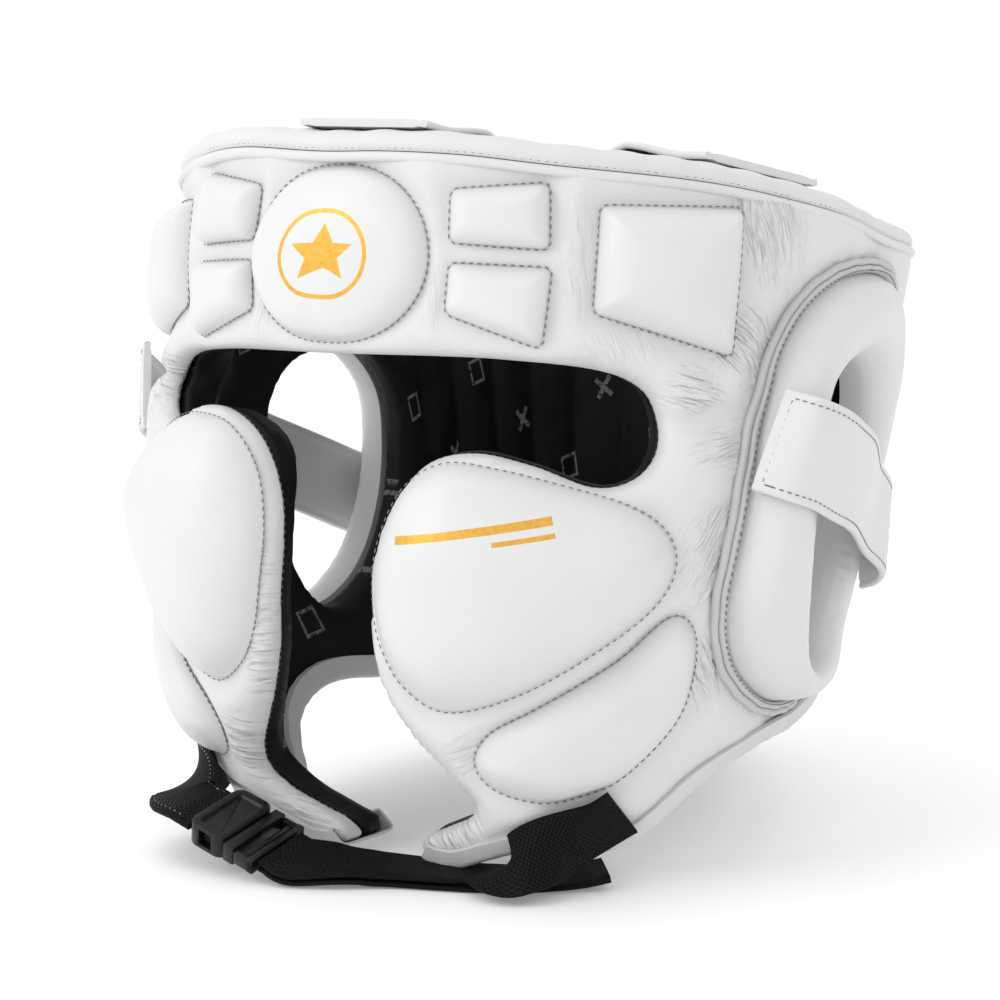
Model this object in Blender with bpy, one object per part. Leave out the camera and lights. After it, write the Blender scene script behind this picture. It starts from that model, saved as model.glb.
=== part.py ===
# Padded boxing headgear: a thick open-faced ring of white leather over a black lining, with raised
# forehead and cheek pads, padded ear rings, crossed crown straps and a buckled chin strap.
# Units are metres, +Z is up, the face opening looks along -Y and the wearer's left side is +X.
import math

import bmesh
import bpy
from mathutils import Vector
from mathutils.geometry import delaunay_2d_cdt

# Driving sizes of the padded ring
SHELL_HEIGHT = 0.235
FRONT_REACH = 0.138
SIDE_REACH = 0.117
BACK_REACH = 0.133
SHELL_WALL = 0.008
LINING_WALL = 0.012
FIT_GAP = 0.0003
SEAT_GAP = 0.0004
BAND_GAP = 0.0008
LINING_GAP = 0.0009

# The far front lies higher than the near one, its cheek is drawn back from the mouth and its ear is
# tucked in
FAR_LIFT = 0.014
CHEEK_DRAW = 0.018
EAR_TUCK = 0.014
CHEEK_SIDE = 0.090
DRAW_ONSET = 10
DRAW_LIMIT = 1.2
LIFT_SPAN = 0.75
TUCK_ONSET = 1.35
TUCK_FADE = 1.6
LINING_RECESS = 0.006
RECESS_TOP = 0.56
RECESS_BOTTOM = 0.05
RECESS_FADE = 0.1

# Rim roll and piping
ROLL_HEIGHT = 0.006
ROLL_PROUD = 0.0012
PIPING_RADIUS = 0.0015

# Heights that the pads stand proud of the leather
MEDALLION_WIDTH = 0.059
MEDALLION_HEIGHT = 0.0515
MEDALLION_PUFF = 0.0065
BROW_PAD_PUFF = 0.0055
TEMPLE_PAD_PUFF = 0.008
CHEEK_PAD_PUFF = 0.013
JAW_PAD_PUFF = 0.009
EAR_PUFF = 0.014
EAR_THINNING = 0.3
FAR_EAR_THINNING = 0.7
FAR_STRAP_THINNING = 0.43
EAR_STRAP_RISE = 0.0056
EAR_FLOOR = 0.0065
CORNER_RADIUS = 0.0025

# Welts, hems and leather straps
WELT_WIDTH = 0.005
WELT_HEIGHT = 0.0016
HEM_WIDTH = 0.0045
HEM_HEIGHT = 0.0012
EAR_STRAP_WIDTH = 0.031
EAR_STRAP_THICKNESS = 0.0024
CROWN_STRAP_THICKNESS = 0.0022
CROWN_STRAP_SEAT = 0.0013
CROWN_STRAP_HUMP = 0.0012
CROWN_STRAP_LEDGE = 0.12
LONG_STRAP_SAG = 0.013
CROSS_STRAP_SAG = 0.016
LONG_STRAP_HALF = 10.5
CROSS_STRAP_BEARING = 61
CROSS_STRAP_HALF = 11

# Chin strap
WEBBING_WIDTH = 0.020
WEBBING_THICKNESS = 0.0016
TAB_WIDTH = 0.022
TAB_THICKNESS = 0.003
BUCKLE_WIDTH = 0.024
BUCKLE_LENGTH = 0.027
BUCKLE_THICKNESS = 0.008
BUCKLE_CORNER = 0.4
PLUG_SHARE = 0.45
PLUG_THINNING = 0.8
CHIN_LEAD = 0.002
CHIN_FORWARD = FRONT_REACH + CHIN_LEAD
CHIN_ASIDE = 0.075
CHIN_UP = 0.030

# Bearings run round the ring in degrees, 0 at the middle of the forehead and 180 at the nape
BEARINGS = (0, 30, 55, 90, 130, 180)
REACHES = (FRONT_REACH, FRONT_REACH, FRONT_REACH, SIDE_REACH, BACK_REACH, BACK_REACH)
# height share of SHELL_HEIGHT, then the outer radius at each bearing as a share of its reach
PROFILE = (
    (-0.02, 0.768, 0.797, 0.739, 0.701, 0.632, 0.737),
    (0.13, 0.870, 0.899, 0.812, 0.769, 0.692, 0.782),
    (0.26, 0.949, 0.971, 0.899, 0.812, 0.729, 0.812),
    (0.40, 1.000, 1.014, 0.964, 0.863, 0.782, 0.865),
    (0.55, 0.978, 1.000, 0.978, 0.906, 0.842, 0.932),
    (0.68, 0.928, 0.949, 0.942, 0.940, 0.895, 0.985),
    (0.83, 0.913, 0.935, 0.920, 1.000, 0.925, 1.000),
    (1.00, 0.877, 0.891, 0.862, 0.966, 0.887, 0.955),
)
# broad dents and swells of the leather: bearing, height share, half-width in degrees, half-height
# share, depth as a share of SHELL_WALL
FOLDS = (
    (50, 0.60, 9, 0.05, -0.30),
    (62, 0.90, 8, 0.12, -0.20),
    (44, 0.28, 8, 0.09, -0.30),
    (30, 0.50, 22, 0.05, -0.15),
    (150, 0.55, 16, 0.25, 0.25),
)
# how the far front settles: height share, share of CHEEK_DRAW, share of FAR_LIFT
FAR_SETTLE = (
    (0.0, 0.0, 0.0), (0.06, 0.15, 0.0), (0.15, 0.9, 0.05), (0.24, 1.0, 0.15), (0.32, 0.8, 0.35),
    (0.45, 0.4, 0.80), (0.52, 0.27, 1.0), (0.58, 0.25, 0.95), (0.67, 0.30, 0.10), (0.78, 0.25, 0.08),
    (0.86, 0.12, 0.25), (0.93, 0.10, 0.55), (1.0, 0.10, 0.55),
)
# top of the rim: bearing, height share
RIM_LINE = (
    (0, 0.956), (15, 0.950), (29, 0.935), (50, 0.915), (72, 0.883),
    (90, 0.853), (110, 0.838), (130, 0.830), (180, 0.826),
)
# outlines as bearing and height share, for the near half
FACE_EDGE = (
    (0, 0.679), (12, 0.679), (22, 0.676), (34, 0.664), (40, 0.640), (42, 0.600), (41.5, 0.560),
    (38.5, 0.530), (33.5, 0.522), (26, 0.548), (18.6, 0.562), (12.3, 0.547), (7.8, 0.495),
    (5.6, 0.430), (4.9, 0.365), (4.8, 0.295), (6.0, 0.245), (9.4, 0.190), (13.9, 0.145),
    (17.0, 0.112), (16.2, 0.086), (12.3, 0.067), (8.5, 0.052),
)
BOTTOM_EDGE = (
    (8.5, 0.052), (7, 0.034), (9, 0.020), (13.5, 0.018), (19, 0.036), (25, 0.052), (31, 0.050),
    (36, 0.048), (42, 0.067), (51, 0.129), (60, 0.160), (68, 0.168), (80, 0.160), (95, 0.155),
    (120, 0.160), (138, 0.160), (150, 0.142), (158, 0.085), (166, 0.018), (171, 0.0), (176, 0.0),
    (180, 0.0),
)
EAR_SEAM = (
    (87, 0.778), (75, 0.772), (66, 0.742), (60, 0.690), (57, 0.630), (54, 0.555), (52, 0.470),
    (50.5, 0.380), (52, 0.310), (56, 0.262), (63, 0.226), (74, 0.208), (86, 0.203), (97, 0.225),
    (105, 0.285), (110, 0.370), (113, 0.470), (114, 0.560), (112, 0.650), (106, 0.725), (98, 0.765),
)
EAR_HOLE = (
    (84, 0.660), (75, 0.655), (68, 0.625), (64.8, 0.550), (64.5, 0.460), (65.5, 0.370), (67, 0.300),
    (72, 0.268), (80, 0.288), (88.5, 0.345), (95, 0.420), (98.5, 0.500), (99, 0.580), (93, 0.640),
)
BROW_UPPER = ((15, 0.882), (28, 0.889), (28, 0.809), (15, 0.818))
BROW_LOWER = ((15, 0.793), (28.3, 0.787), (27, 0.690), (14.4, 0.732))
TEMPLE = ((34.5, 0.862), (54.4, 0.860), (51.8, 0.678), (33.5, 0.733))
CHEEK = (
    (15.3, 0.551), (10.0, 0.518), (7.0, 0.450), (6.3, 0.380), (6.8, 0.320), (9.4, 0.268),
    (15.0, 0.240), (24, 0.266), (33.6, 0.322), (40.5, 0.375), (43.2, 0.425), (42, 0.470),
    (37.5, 0.502), (29.5, 0.527), (22, 0.545),
)
JAW = (
    (18.2, 0.172), (20.4, 0.212), (26, 0.245), (31.4, 0.277), (37.1, 0.313), (43, 0.362),
    (46.3, 0.345), (47.4, 0.290), (45.6, 0.220), (38.4, 0.152), (32.2, 0.128), (26.8, 0.120),
    (20.6, 0.137),
)
MEDALLION_PLACE = (-1.2, 0.804)
# a pad's loops as shares of its outline, first under it, then over it with their share of its puff
UNDERSIDE = (0.30, 0.65, 1.0)
DOME = ((1.0, 0.10), (0.93, 0.42), (0.78, 0.76), (0.55, 0.93), (0.28, 1.0))
# bearings over which the ear rings thin towards the rear, and over which the far one thickens
EAR_REAR = (78, 102)
FAR_EAR_FRONT = (62, 88)
# way across the ear ring from its seam to its hole, share of EAR_PUFF
EAR_SECTION = ((0.0, 0.02), (0.10, 0.46), (0.28, 0.86), (0.52, 1.0), (0.76, 0.84), (0.93, 0.40), (1.0, 0.0))
# the ear strap: bearing, middle height share, clearance over the leather as a share of EAR_PUFF
EAR_STRAP = (
    (54.7, 0.580, 0.45), (57.0, 0.570, 1.04), (60.5, 0.557, 1.16), (65, 0.537, 1.12),
    (72, 0.514, 0.98), (80, 0.487, 0.88), (88, 0.461, 0.88), (95, 0.438, 0.98), (100, 0.421, 1.02),
    (105, 0.405, 0.92), (109.5, 0.390, 0.72), (113, 0.380, 0.30),
)
# sewn ends of the chin strap on the near and far jaws: bearing, height share
NEAR_TAB = ((38, 0.112), (34, 0.090))
FAR_TAB = ((-47, 0.117), (-42, 0.093))
# free runs as aside, forward and up shares, then how far the face leans to the front in degrees
WEB_RUN = (
    (-0.060, 0.910, 0.140, 14), (0.050, 0.868, 0.085, 8), (0.160, 0.834, 0.050, 3),
    (0.330, 0.802, 0.030, 0), (0.480, 0.772, 0.028, 0),
)
WEB_RISE = ((0.640, 0.832, 0.280, 33), (0.735, 0.824, 0.415, 76))
TAIL_TIP = ((0.640, 0.726, 0.034, 0), (0.790, 0.668, 0.060, 0), (0.890, 0.630, 0.115, 0))
ANCHOR_TAB = ((-0.910, 0.850, 0.630, 50), (-0.850, 0.908, 0.620, 20))
BUCKLE_PLACE = (-0.480, 0.940, 0.390)
BUCKLE_LEAD = 0.007
BUCKLE_RUN = (0.93, -0.06, -0.28)
BUCKLE_LEAN = 14

SHEET_BEARING_STEP = 9.0
SHEET_HEIGHT_STEP = 0.018
EDGE_STEP = 0.012
SPOT_CLEARANCE = 0.55
HEM_STEP = 1.2
HOLE_STEP = 0.1
SMALL_PAD_STEP = 0.6
TEMPLE_PAD_STEP = 0.7
LARGE_PAD_STEP = 0.8
MEDALLION_SIDES = 22
ROLL_STEPS = 40
PIPING_STEPS = 48
PIPING_SIDES = 5
CROWN_STRAP_STEPS = 16
WELD = 1e-6

WHITE = ((0.86, 0.86, 0.85), 0.42)
GREY = ((0.55, 0.55, 0.55), 0.55)
BLACK = ((0.015, 0.015, 0.016), 0.65)
PLASTIC = ((0.02, 0.02, 0.02), 0.35)


def clear_scene():
    for item in list(bpy.data.objects):
        bpy.data.objects.remove(item, do_unlink=True)


def hermite(stops, values, x):
    """Smooth value at x through the stops, level beyond both ends."""
    if x <= stops[0]:
        return values[0]
    if x >= stops[-1]:
        return values[-1]
    last = len(stops) - 1
    i = max(k for k in range(last) if stops[k] <= x)

    def slope(k):
        if k in (0, last):
            return 0.0
        return (values[k + 1] - values[k - 1]) / (stops[k + 1] - stops[k - 1])

    step = stops[i + 1] - stops[i]
    t = (x - stops[i]) / step
    return ((2 * t**3 - 3 * t**2 + 1) * values[i] + (t**3 - 2 * t**2 + t) * step * slope(i)
            + (3 * t**2 - 2 * t**3) * values[i + 1] + (t**3 - t**2) * step * slope(i + 1))


def reach(bearing, z):
    """Radius of the outer leather at a bearing and a height."""
    side = abs(bearing)
    heights = [row[0] * SHELL_HEIGHT for row in PROFILE]
    column = [hermite(heights, [row[k + 1] * REACHES[k] for row in PROFILE], z) for k in range(len(BEARINGS))]
    radius = hermite(BEARINGS, column, side)
    for angle, height, half_angle, half_height, depth in FOLDS:
        away = ((side - angle) / half_angle)**2 + ((z / SHELL_HEIGHT - height) / half_height)**2
        radius += depth * SHELL_WALL * math.exp(-away)
    return radius


def place(bearing, z, off=0.0):
    """Point at a distance out from the leather's outer face."""
    radius = reach(bearing, z) + off
    angle = math.radians(bearing)
    return Vector((radius * math.sin(angle), -radius * math.cos(angle), z))


def smooth(x):
    x = min(1.0, max(0.0, x))
    return x * x * (3 - 2 * x)


def settle(point):
    """Move the far side to where it rests, as it doesn't carry weight the way the near side does."""
    aside = -point.x / CHEEK_SIDE
    front = smooth(-point.y / FRONT_REACH)
    heights = [row[0] * SHELL_HEIGHT for row in FAR_SETTLE]
    draw = CHEEK_DRAW * hermite(heights, [row[1] for row in FAR_SETTLE], point.z)
    lift = FAR_LIFT * hermite(heights, [row[2] for row in FAR_SETTLE], point.z)
    draw *= smooth(aside * DRAW_ONSET) * smooth(DRAW_LIMIT - aside) * front
    behind = smooth(TUCK_ONSET + 2 * point.y / FRONT_REACH)
    tuck = EAR_TUCK * smooth(aside) * behind * smooth(TUCK_FADE * (1 - point.y / BACK_REACH))
    return point + Vector((tuck - draw, 0, lift * smooth(aside / LIFT_SPAN) * front))


def rim_height(bearing):
    return hermite([row[0] for row in RIM_LINE], [row[1] * SHELL_HEIGHT for row in RIM_LINE], abs(bearing))


def degree_length():
    """Length of one degree of bearing along the leather."""
    return math.radians(FRONT_REACH * 0.5 + SIDE_REACH * 0.5)


def flat(points):
    """Bearing and height share to flat lengths, on which outlines are drawn."""
    return [Vector((bearing * degree_length(), share * SHELL_HEIGHT)) for bearing, share in points]


def unflat(point):
    return point[0] / degree_length(), point[1]


def resample(points, step, closed):
    """Even points along a chain that is already fine."""
    chain = points + [points[0]] if closed else points
    lengths = [0.0]
    for a, b in zip(chain, chain[1:]):
        lengths.append(lengths[-1] + (b - a).length)
    count = max(3, round(lengths[-1] / step))
    result = []
    at = 0
    for k in range(count if closed else count + 1):
        goal = lengths[-1] * k / count
        while at < len(chain) - 2 and lengths[at + 1] < goal:
            at += 1
        span = lengths[at + 1] - lengths[at]
        t = (goal - lengths[at]) / span if span else 0.0
        result.append(chain[at].lerp(chain[at + 1], min(1.0, t)))
    return result


def curve_points(points, fine, closed=False):
    """Points on a Catmull-Rom curve through hand-set points, fine of them from each to the next."""
    count = len(points)
    chain = []
    for i in range(count if closed else count - 1):
        if closed:
            a, b, c, d = (points[(i + k - 1) % count] for k in range(4))
        else:
            a, b, c, d = (points[min(count - 1, max(0, i + k - 1))] for k in range(4))
        for k in range(fine):
            t = k / fine
            chain.append(0.5 * (2 * b + (c - a) * t + (2 * a - 5 * b + 4 * c - d) * t**2
                                + (3 * b - a - 3 * c + d) * t**3))
    if not closed:
        chain.append(points[-1].copy())
    return chain


def curve_through(points, step, closed=False):
    """Even points on the smooth curve."""
    return resample(curve_points(points, 8, closed), step, closed)


def rounded(points, radius, step):
    """Even points round a polygon whose corners are rounded."""
    chain = []
    count = len(points)
    for i in range(count):
        before, corner, after = points[i - 1], points[i], points[(i + 1) % count]
        start = corner + (before - corner).normalized() * radius
        end = corner + (after - corner).normalized() * radius
        for k in range(5):
            t = k / 4
            chain.append(start * (1 - t)**2 + corner * 2 * t * (1 - t) + end * t**2)
    return resample(chain, step, True)


def inside(point, outline):
    hit = False
    for a, b in zip(outline, outline[1:] + outline[:1]):
        if (a.y > point.y) != (b.y > point.y):
            if point.x < a.x + (point.y - a.y) * (b.x - a.x) / (b.y - a.y):
                hit = not hit
    return hit


def distance(point, outline):
    best = 1.0
    for a, b in zip(outline, outline[1:] + outline[:1]):
        run = b - a
        t = min(1.0, max(0.0, (point - a).dot(run) / max(run.length_squared, WELD**2)))
        best = min(best, (point - a - run * t).length)
    return best


def moved_outline(points, shift):
    """A closed outline moved outward by a distance, or inward if it is negative."""
    count = len(points)
    area = sum(points[i - 1].x * points[i].y - points[i].x * points[i - 1].y for i in range(count))
    turn = 1 if area > 0 else -1
    result = []
    for i in range(count):
        run = (points[(i + 1) % count] - points[i - 1]).normalized()
        result.append(points[i] + Vector((run.y, -run.x)) * shift * turn)
    return result


def material(name, finish):
    colour, roughness = finish
    mat = bpy.data.materials.new(name)
    mat.use_nodes = True
    shader = mat.node_tree.nodes["Principled BSDF"]
    shader.inputs["Base Color"].default_value = (*colour, 1.0)
    shader.inputs["Roughness"].default_value = roughness
    shader.inputs["Metallic"].default_value = 0.0
    return mat


def finish_object(name, bm, finish, settled=True):
    """Weld, settle and name a closed solid."""
    bmesh.ops.remove_doubles(bm, verts=bm.verts, dist=WELD)
    if settled:
        for vert in bm.verts:
            vert.co = settle(vert.co)
    bmesh.ops.triangulate(bm, faces=bm.faces)
    bmesh.ops.recalc_face_normals(bm, faces=bm.faces)
    mesh = bpy.data.meshes.new(name)
    bm.to_mesh(mesh)
    bm.free()
    mesh.shade_smooth()
    mesh.set_sharp_from_angle(angle=math.radians(50))
    obj = bpy.data.objects.new(name, mesh)
    obj.data.materials.append(material(name, finish))
    bpy.context.collection.objects.link(obj)
    return obj


def half_sheet(recess):
    """Near half of the ring: its closed outline, laid flat, set back from the mouth by a recess."""
    face = curve_through(flat(FACE_EDGE), EDGE_STEP)
    for point in face:
        up = point.y / SHELL_HEIGHT
        below = smooth((RECESS_TOP - up) / RECESS_FADE)
        point.x += recess * below * smooth((up - RECESS_BOTTOM) / RECESS_FADE)
    bottom = [Vector((p.x, max(0.0, p.y))) for p in curve_through(flat(BOTTOM_EDGE), EDGE_STEP)]
    back_x = 180 * degree_length()
    top_drop = ROLL_HEIGHT + FIT_GAP
    tops = []
    count = round(180 / SHEET_BEARING_STEP)
    for k in range(count + 1):
        bearing = 180 * (count - k) / count
        tops.append(Vector((bearing * degree_length(), rim_height(bearing) - top_drop)))
    rises = round((tops[0].y - bottom[-1].y) / SHEET_HEIGHT_STEP)
    seam = [Vector((back_x, bottom[-1].y + (tops[0].y - bottom[-1].y) * k / rises)) for k in range(1, rises)]
    drops = round((tops[-1].y - face[0].y) / SHEET_HEIGHT_STEP)
    brow = [Vector((0.0, tops[-1].y + (face[0].y - tops[-1].y) * k / drops)) for k in range(1, drops)]
    return face + bottom[1:] + seam + tops + brow


def ring_wall(name, ear_outline, recess, outer_off, inner_off, finish):
    """Padded wall of the whole ring between two distances from the outer face."""
    outline = half_sheet(recess)
    hole = resample(ear_outline, EDGE_STEP, True)
    points = list(outline) + list(hole)
    edges = [(i, (i + 1) % len(outline)) for i in range(len(outline))]
    base = len(outline)
    edges += [(base + i, base + (i + 1) % len(hole)) for i in range(len(hole))]
    columns = round(180 / SHEET_BEARING_STEP)
    rows = round(SHELL_HEIGHT / SHEET_HEIGHT_STEP)
    for i in range(1, columns):
        for j in range(rows):
            spot = Vector((180 * i / columns * degree_length(), SHELL_HEIGHT * (j + 0.5 * (i % 2)) / rows))
            if inside(spot, outline) and not inside(spot, hole):
                if min(distance(spot, outline), distance(spot, hole)) > EDGE_STEP * SPOT_CLEARANCE:
                    points.append(spot)
    verts, _, faces, *_ = delaunay_2d_cdt(points, edges, [], 0, WELD)
    bm = bmesh.new()
    made = []
    for vert in verts:
        bearing, z = unflat(vert)
        made.append(bm.verts.new(place(bearing, z, outer_off)))
    for face in faces:
        middle = sum((verts[i] for i in face), Vector((0.0, 0.0))) / len(face)
        if inside(middle, outline) and not inside(middle, hole):
            bm.faces.new([made[i] for i in face])
    bmesh.ops.delete(bm, geom=[v for v in bm.verts if not v.link_faces], context="VERTS")
    for vert in bm.verts:
        if abs(vert.co.x) < WELD * 10:
            vert.co.x = 0.0
    bmesh.ops.mirror(bm, geom=bm.verts[:] + bm.edges[:] + bm.faces[:], axis="X", merge_dist=WELD)
    thickness = outer_off - inner_off
    grown = bmesh.ops.extrude_face_region(bm, geom=bm.faces[:], use_keep_orig=True)
    for item in grown["geom"]:
        if isinstance(item, bmesh.types.BMVert):
            flat_part = Vector((item.co.x, item.co.y, 0.0))
            item.co -= flat_part.normalized() * thickness
    return finish_object(name, bm, finish)


def skin(bm, loops, capped=True, tips=None):
    """Faces between successive closed loops of points, with a fan to a tip at each end if capped."""
    made = [[bm.verts.new(point) for point in loop] for loop in loops]
    for one, two in zip(made, made[1:]):
        for i in range(len(one)):
            j = (i + 1) % len(one)
            bm.faces.new((one[i], one[j], two[j], two[i]))
    if capped:
        tips = tips or [sum(loop, Vector()) / len(loop) for loop in (loops[0], loops[-1])]
        for loop, point in zip((made[0], made[-1]), tips):
            tip = bm.verts.new(point)
            for i in range(len(loop)):
                bm.faces.new((loop[i], loop[(i + 1) % len(loop)], tip))


def pad(name, outline, puff, side):
    """Crowned pad whose underside follows the leather. side is 1 near and -1 far."""
    middle = sum(outline, Vector((0.0, 0.0))) / len(outline)

    def spot(point, off):
        bearing, z = unflat(point)
        return place(side * bearing, z, SEAT_GAP + off)

    rows = [(share, 0.0) for share in UNDERSIDE] + [(share, puff * height) for share, height in DOME]
    loops = [[spot(middle.lerp(point, share), off) for point in outline] for share, off in rows]
    bm = bmesh.new()
    skin(bm, loops, tips=(spot(middle, 0.0), spot(middle, puff)))
    return finish_object(name, bm, WHITE)


def over(span, x):
    """Smooth share of the way across a span."""
    return smooth((x - span[0]) / (span[1] - span[0]))


def ear_puff(bearing, side, thinning):
    """Rise over an ear ring: the far one is pressed flat at its front."""
    pressed = thinning * (1 - over(FAR_EAR_FRONT, bearing)) if side < 0 else 0.0
    return EAR_PUFF * (1 - pressed)


def ear_ring(name, seam, hole, side):
    """Fat padded ring that fills the wall between the ear seam and the ear hole."""
    section = [(share, None) for share in (0.5, 0.0)] + list(EAR_SECTION) + [(1.0, None)]
    loops = []
    for share, height in section:
        loop = []
        for outer, inner in zip(seam, hole):
            bearing, z = unflat(outer.lerp(inner, share))
            thinning = 1 - EAR_THINNING * over(EAR_REAR, bearing)
            puff = ear_puff(bearing, side, FAR_EAR_THINNING) * thinning
            off = -EAR_FLOOR if height is None else puff * height
            loop.append(place(side * bearing, z, off))
        loops.append(loop)
    bm = bmesh.new()
    skin(bm, loops + [loops[0]], capped=False)
    return finish_object(name, bm, WHITE)


def band_section(inner, outer, height, side):
    """Cross-section of a low band on the leather between two flat points."""
    (ba, za), (bb, zb) = unflat(inner), unflat(outer)
    return [place(side * ba, za, BAND_GAP), place(side * bb, zb, BAND_GAP),
            place(side * bb, zb, BAND_GAP + height), place(side * ba, za, BAND_GAP + height)]


def welt(name, seam, side):
    """Folded grey leather round an ear seam."""
    inner = moved_outline(seam, FIT_GAP)
    outer = moved_outline(seam, WELT_WIDTH)
    sections = [band_section(a, b, WELT_HEIGHT, side) for a, b in zip(inner, outer)]
    bm = bmesh.new()
    skin(bm, sections + [sections[0]], capped=False)
    return finish_object(name, bm, GREY)


def hem():
    """Binding along the bottom edge, from one chin tip round the nape to the other."""
    edge = curve_through(flat(BOTTOM_EDGE[2:]), EDGE_STEP * HEM_STEP)
    for point in edge:
        point.y = max(0.0, point.y)
    inner, outer = [], []
    for i, point in enumerate(edge):
        run = (edge[min(i + 1, len(edge) - 1)] - edge[max(i - 1, 0)]).normalized()
        up = Vector((-run.y, run.x))
        inner.append(point + up * FIT_GAP)
        outer.append(point + up * HEM_WIDTH)
    inner[-1].x = outer[-1].x = edge[-1].x
    near = [band_section(a, b, HEM_HEIGHT, 1) for a, b in zip(inner, outer)]
    far = [band_section(a, b, HEM_HEIGHT, -1) for a, b in zip(inner[:-1], outer[:-1])]
    bm = bmesh.new()
    skin(bm, near + far[::-1])
    return finish_object("hem_binding", bm, GREY)


def rim_roll():
    """Rounded leather roll on top of the shell and the lining, all the way round."""
    wall = SHELL_WALL + LINING_WALL + FIT_GAP
    # section: distance in from the outer face as a share of the wall, share of ROLL_HEIGHT
    section = (
        (0.0, 0.0), (0.0, 0.62), (0.10, 0.92), (0.30, 1.0),
        (0.70, 1.0), (0.90, 0.92), (1.0, 0.62), (1.0, 0.0),
    )
    sections = []
    for k in range(ROLL_STEPS):
        bearing = -180 + 360 * k / ROLL_STEPS
        base = rim_height(bearing) - ROLL_HEIGHT
        loop = []
        for inward, up in section:
            off = ROLL_PROUD * (1 - 2 * inward) - inward * wall
            spot = place(bearing, base, off)
            spot.z = base + up * ROLL_HEIGHT
            loop.append(spot)
        sections.append(loop)
    bm = bmesh.new()
    skin(bm, sections + [sections[0]], capped=False)
    return finish_object("rim_roll", bm, WHITE)


def rim_piping():
    """Fine cord under the rim roll, all the way round."""
    drop = ROLL_HEIGHT + PIPING_RADIUS + FIT_GAP
    sections = []
    for k in range(PIPING_STEPS):
        bearing = -180 + 360 * k / PIPING_STEPS
        z = rim_height(bearing) - drop
        loop = []
        for n in range(PIPING_SIDES):
            turn = 2 * math.pi * n / PIPING_SIDES
            off = PIPING_RADIUS * (1 + math.cos(turn)) + SEAT_GAP
            spot = place(bearing, z, off)
            spot.z = z + PIPING_RADIUS * math.sin(turn)
            loop.append(spot)
        sections.append(loop)
    bm = bmesh.new()
    skin(bm, sections + [sections[0]], capped=False)
    return finish_object("rim_piping", bm, WHITE)


def strap(name, marks, width, thickness, finish, fine=3):
    """Flat strap on a smooth run through marks of a middle point and the way its face looks."""
    middles = curve_points([mark[0] for mark in marks], fine)
    faces = curve_points([mark[1] for mark in marks], fine)
    sections = []
    for k, (middle, face) in enumerate(zip(middles, faces)):
        run = middles[min(len(middles) - 1, k + 1)] - middles[max(0, k - 1)]
        half = run.cross(face).normalized() * width / 2
        rise = half.cross(run).normalized() * thickness / 2
        sections.append([middle - half - rise, middle + half - rise,
                         middle + half + rise, middle - half + rise])
    bm = bmesh.new()
    skin(bm, sections)
    return finish_object(name, bm, finish, False)


def outward(bearing, z):
    """Direction that the leather faces."""
    step = EDGE_STEP
    along = place(bearing + step / degree_length(), z) - place(bearing - step / degree_length(), z)
    up = place(bearing, z + step) - place(bearing, z - step)
    return along.cross(up).normalized()


def seat(bearing, share, thickness):
    """Mark for a strap's sewn end, which lies over the hem and the leather."""
    z = share * SHELL_HEIGHT
    face = outward(bearing, z)
    return settle(place(bearing, z)) + face * (2 * BAND_GAP + HEM_HEIGHT + thickness / 2), face


def ear_strap(name, side):
    """Leather strap over the ear ring, from its front seam to its rear seam."""
    marks = []
    for bearing, share, clear in EAR_STRAP:
        z = share * SHELL_HEIGHT
        rise = max(EAR_STRAP_RISE, clear * ear_puff(bearing, side, FAR_STRAP_THINNING))
        lift = SEAT_GAP + EAR_STRAP_THICKNESS / 2 + rise
        face = place(side * bearing, z, 1.0) - place(side * bearing, z)
        marks.append((settle(place(side * bearing, z, lift)), face))
    return strap(name, marks, EAR_STRAP_WIDTH, EAR_STRAP_THICKNESS, WHITE, 2)


def rim_top(bearing, inward):
    """Point on top of the rim roll."""
    base = rim_height(bearing) - ROLL_HEIGHT
    spot = place(bearing, base, -inward)
    spot.z = base + ROLL_HEIGHT
    return spot


def crown_strap(name, first_edge, second_edge, sag):
    """Strap between the rim bearings of its two edges: it lies on the roll and sags between."""
    steps = CROWN_STRAP_STEPS
    inward = (SHELL_WALL + LINING_WALL) / 4

    def edge(bearings):
        start, end = (settle(rim_top(bearing, inward)) for bearing in bearings)
        points = []
        for k in range(steps + 1):
            from_end = min(k, steps - k) / steps
            into = max(0.0, from_end - CROWN_STRAP_LEDGE) / (0.5 - CROWN_STRAP_LEDGE)
            hump = CROWN_STRAP_HUMP * smooth(from_end / CROWN_STRAP_LEDGE)
            rise = CROWN_STRAP_SEAT + CROWN_STRAP_THICKNESS / 2 + hump - sag * (1 - (1 - into)**2)
            points.append(start.lerp(end, k / steps) + Vector((0, 0, rise)))
        return points

    one, two = edge(first_edge), edge(second_edge)
    sections = []
    for k in range(steps + 1):
        run = one[min(steps, k + 1)] - one[max(0, k - 1)]
        up = run.cross(two[k] - one[k]).normalized()
        if up.z < 0:
            up.negate()
        rise = up * CROWN_STRAP_THICKNESS / 2
        sections.append([one[k] - rise, two[k] - rise, two[k] + rise, one[k] + rise])
    bm = bmesh.new()
    skin(bm, sections)
    return finish_object(name, bm, WHITE, False)


def chin_point(aside, forward, up):
    return Vector((aside * CHIN_ASIDE, -forward * CHIN_FORWARD, up * CHIN_UP))


def free_run(table):
    marks = []
    for aside, forward, up, lean in table:
        angle = math.radians(lean)
        marks.append((chin_point(aside, forward, up), Vector((0, -math.sin(angle), math.cos(angle)))))
    return marks


def buckle_frame():
    """Middle of the buckle and its run, width and face directions."""
    run = Vector(BUCKLE_RUN).normalized()
    angle = math.radians(BUCKLE_LEAN)
    half = run.cross(Vector((0, -math.sin(angle), math.cos(angle)))).normalized()
    return chin_point(*BUCKLE_PLACE), run, half, half.cross(run).normalized()


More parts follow.
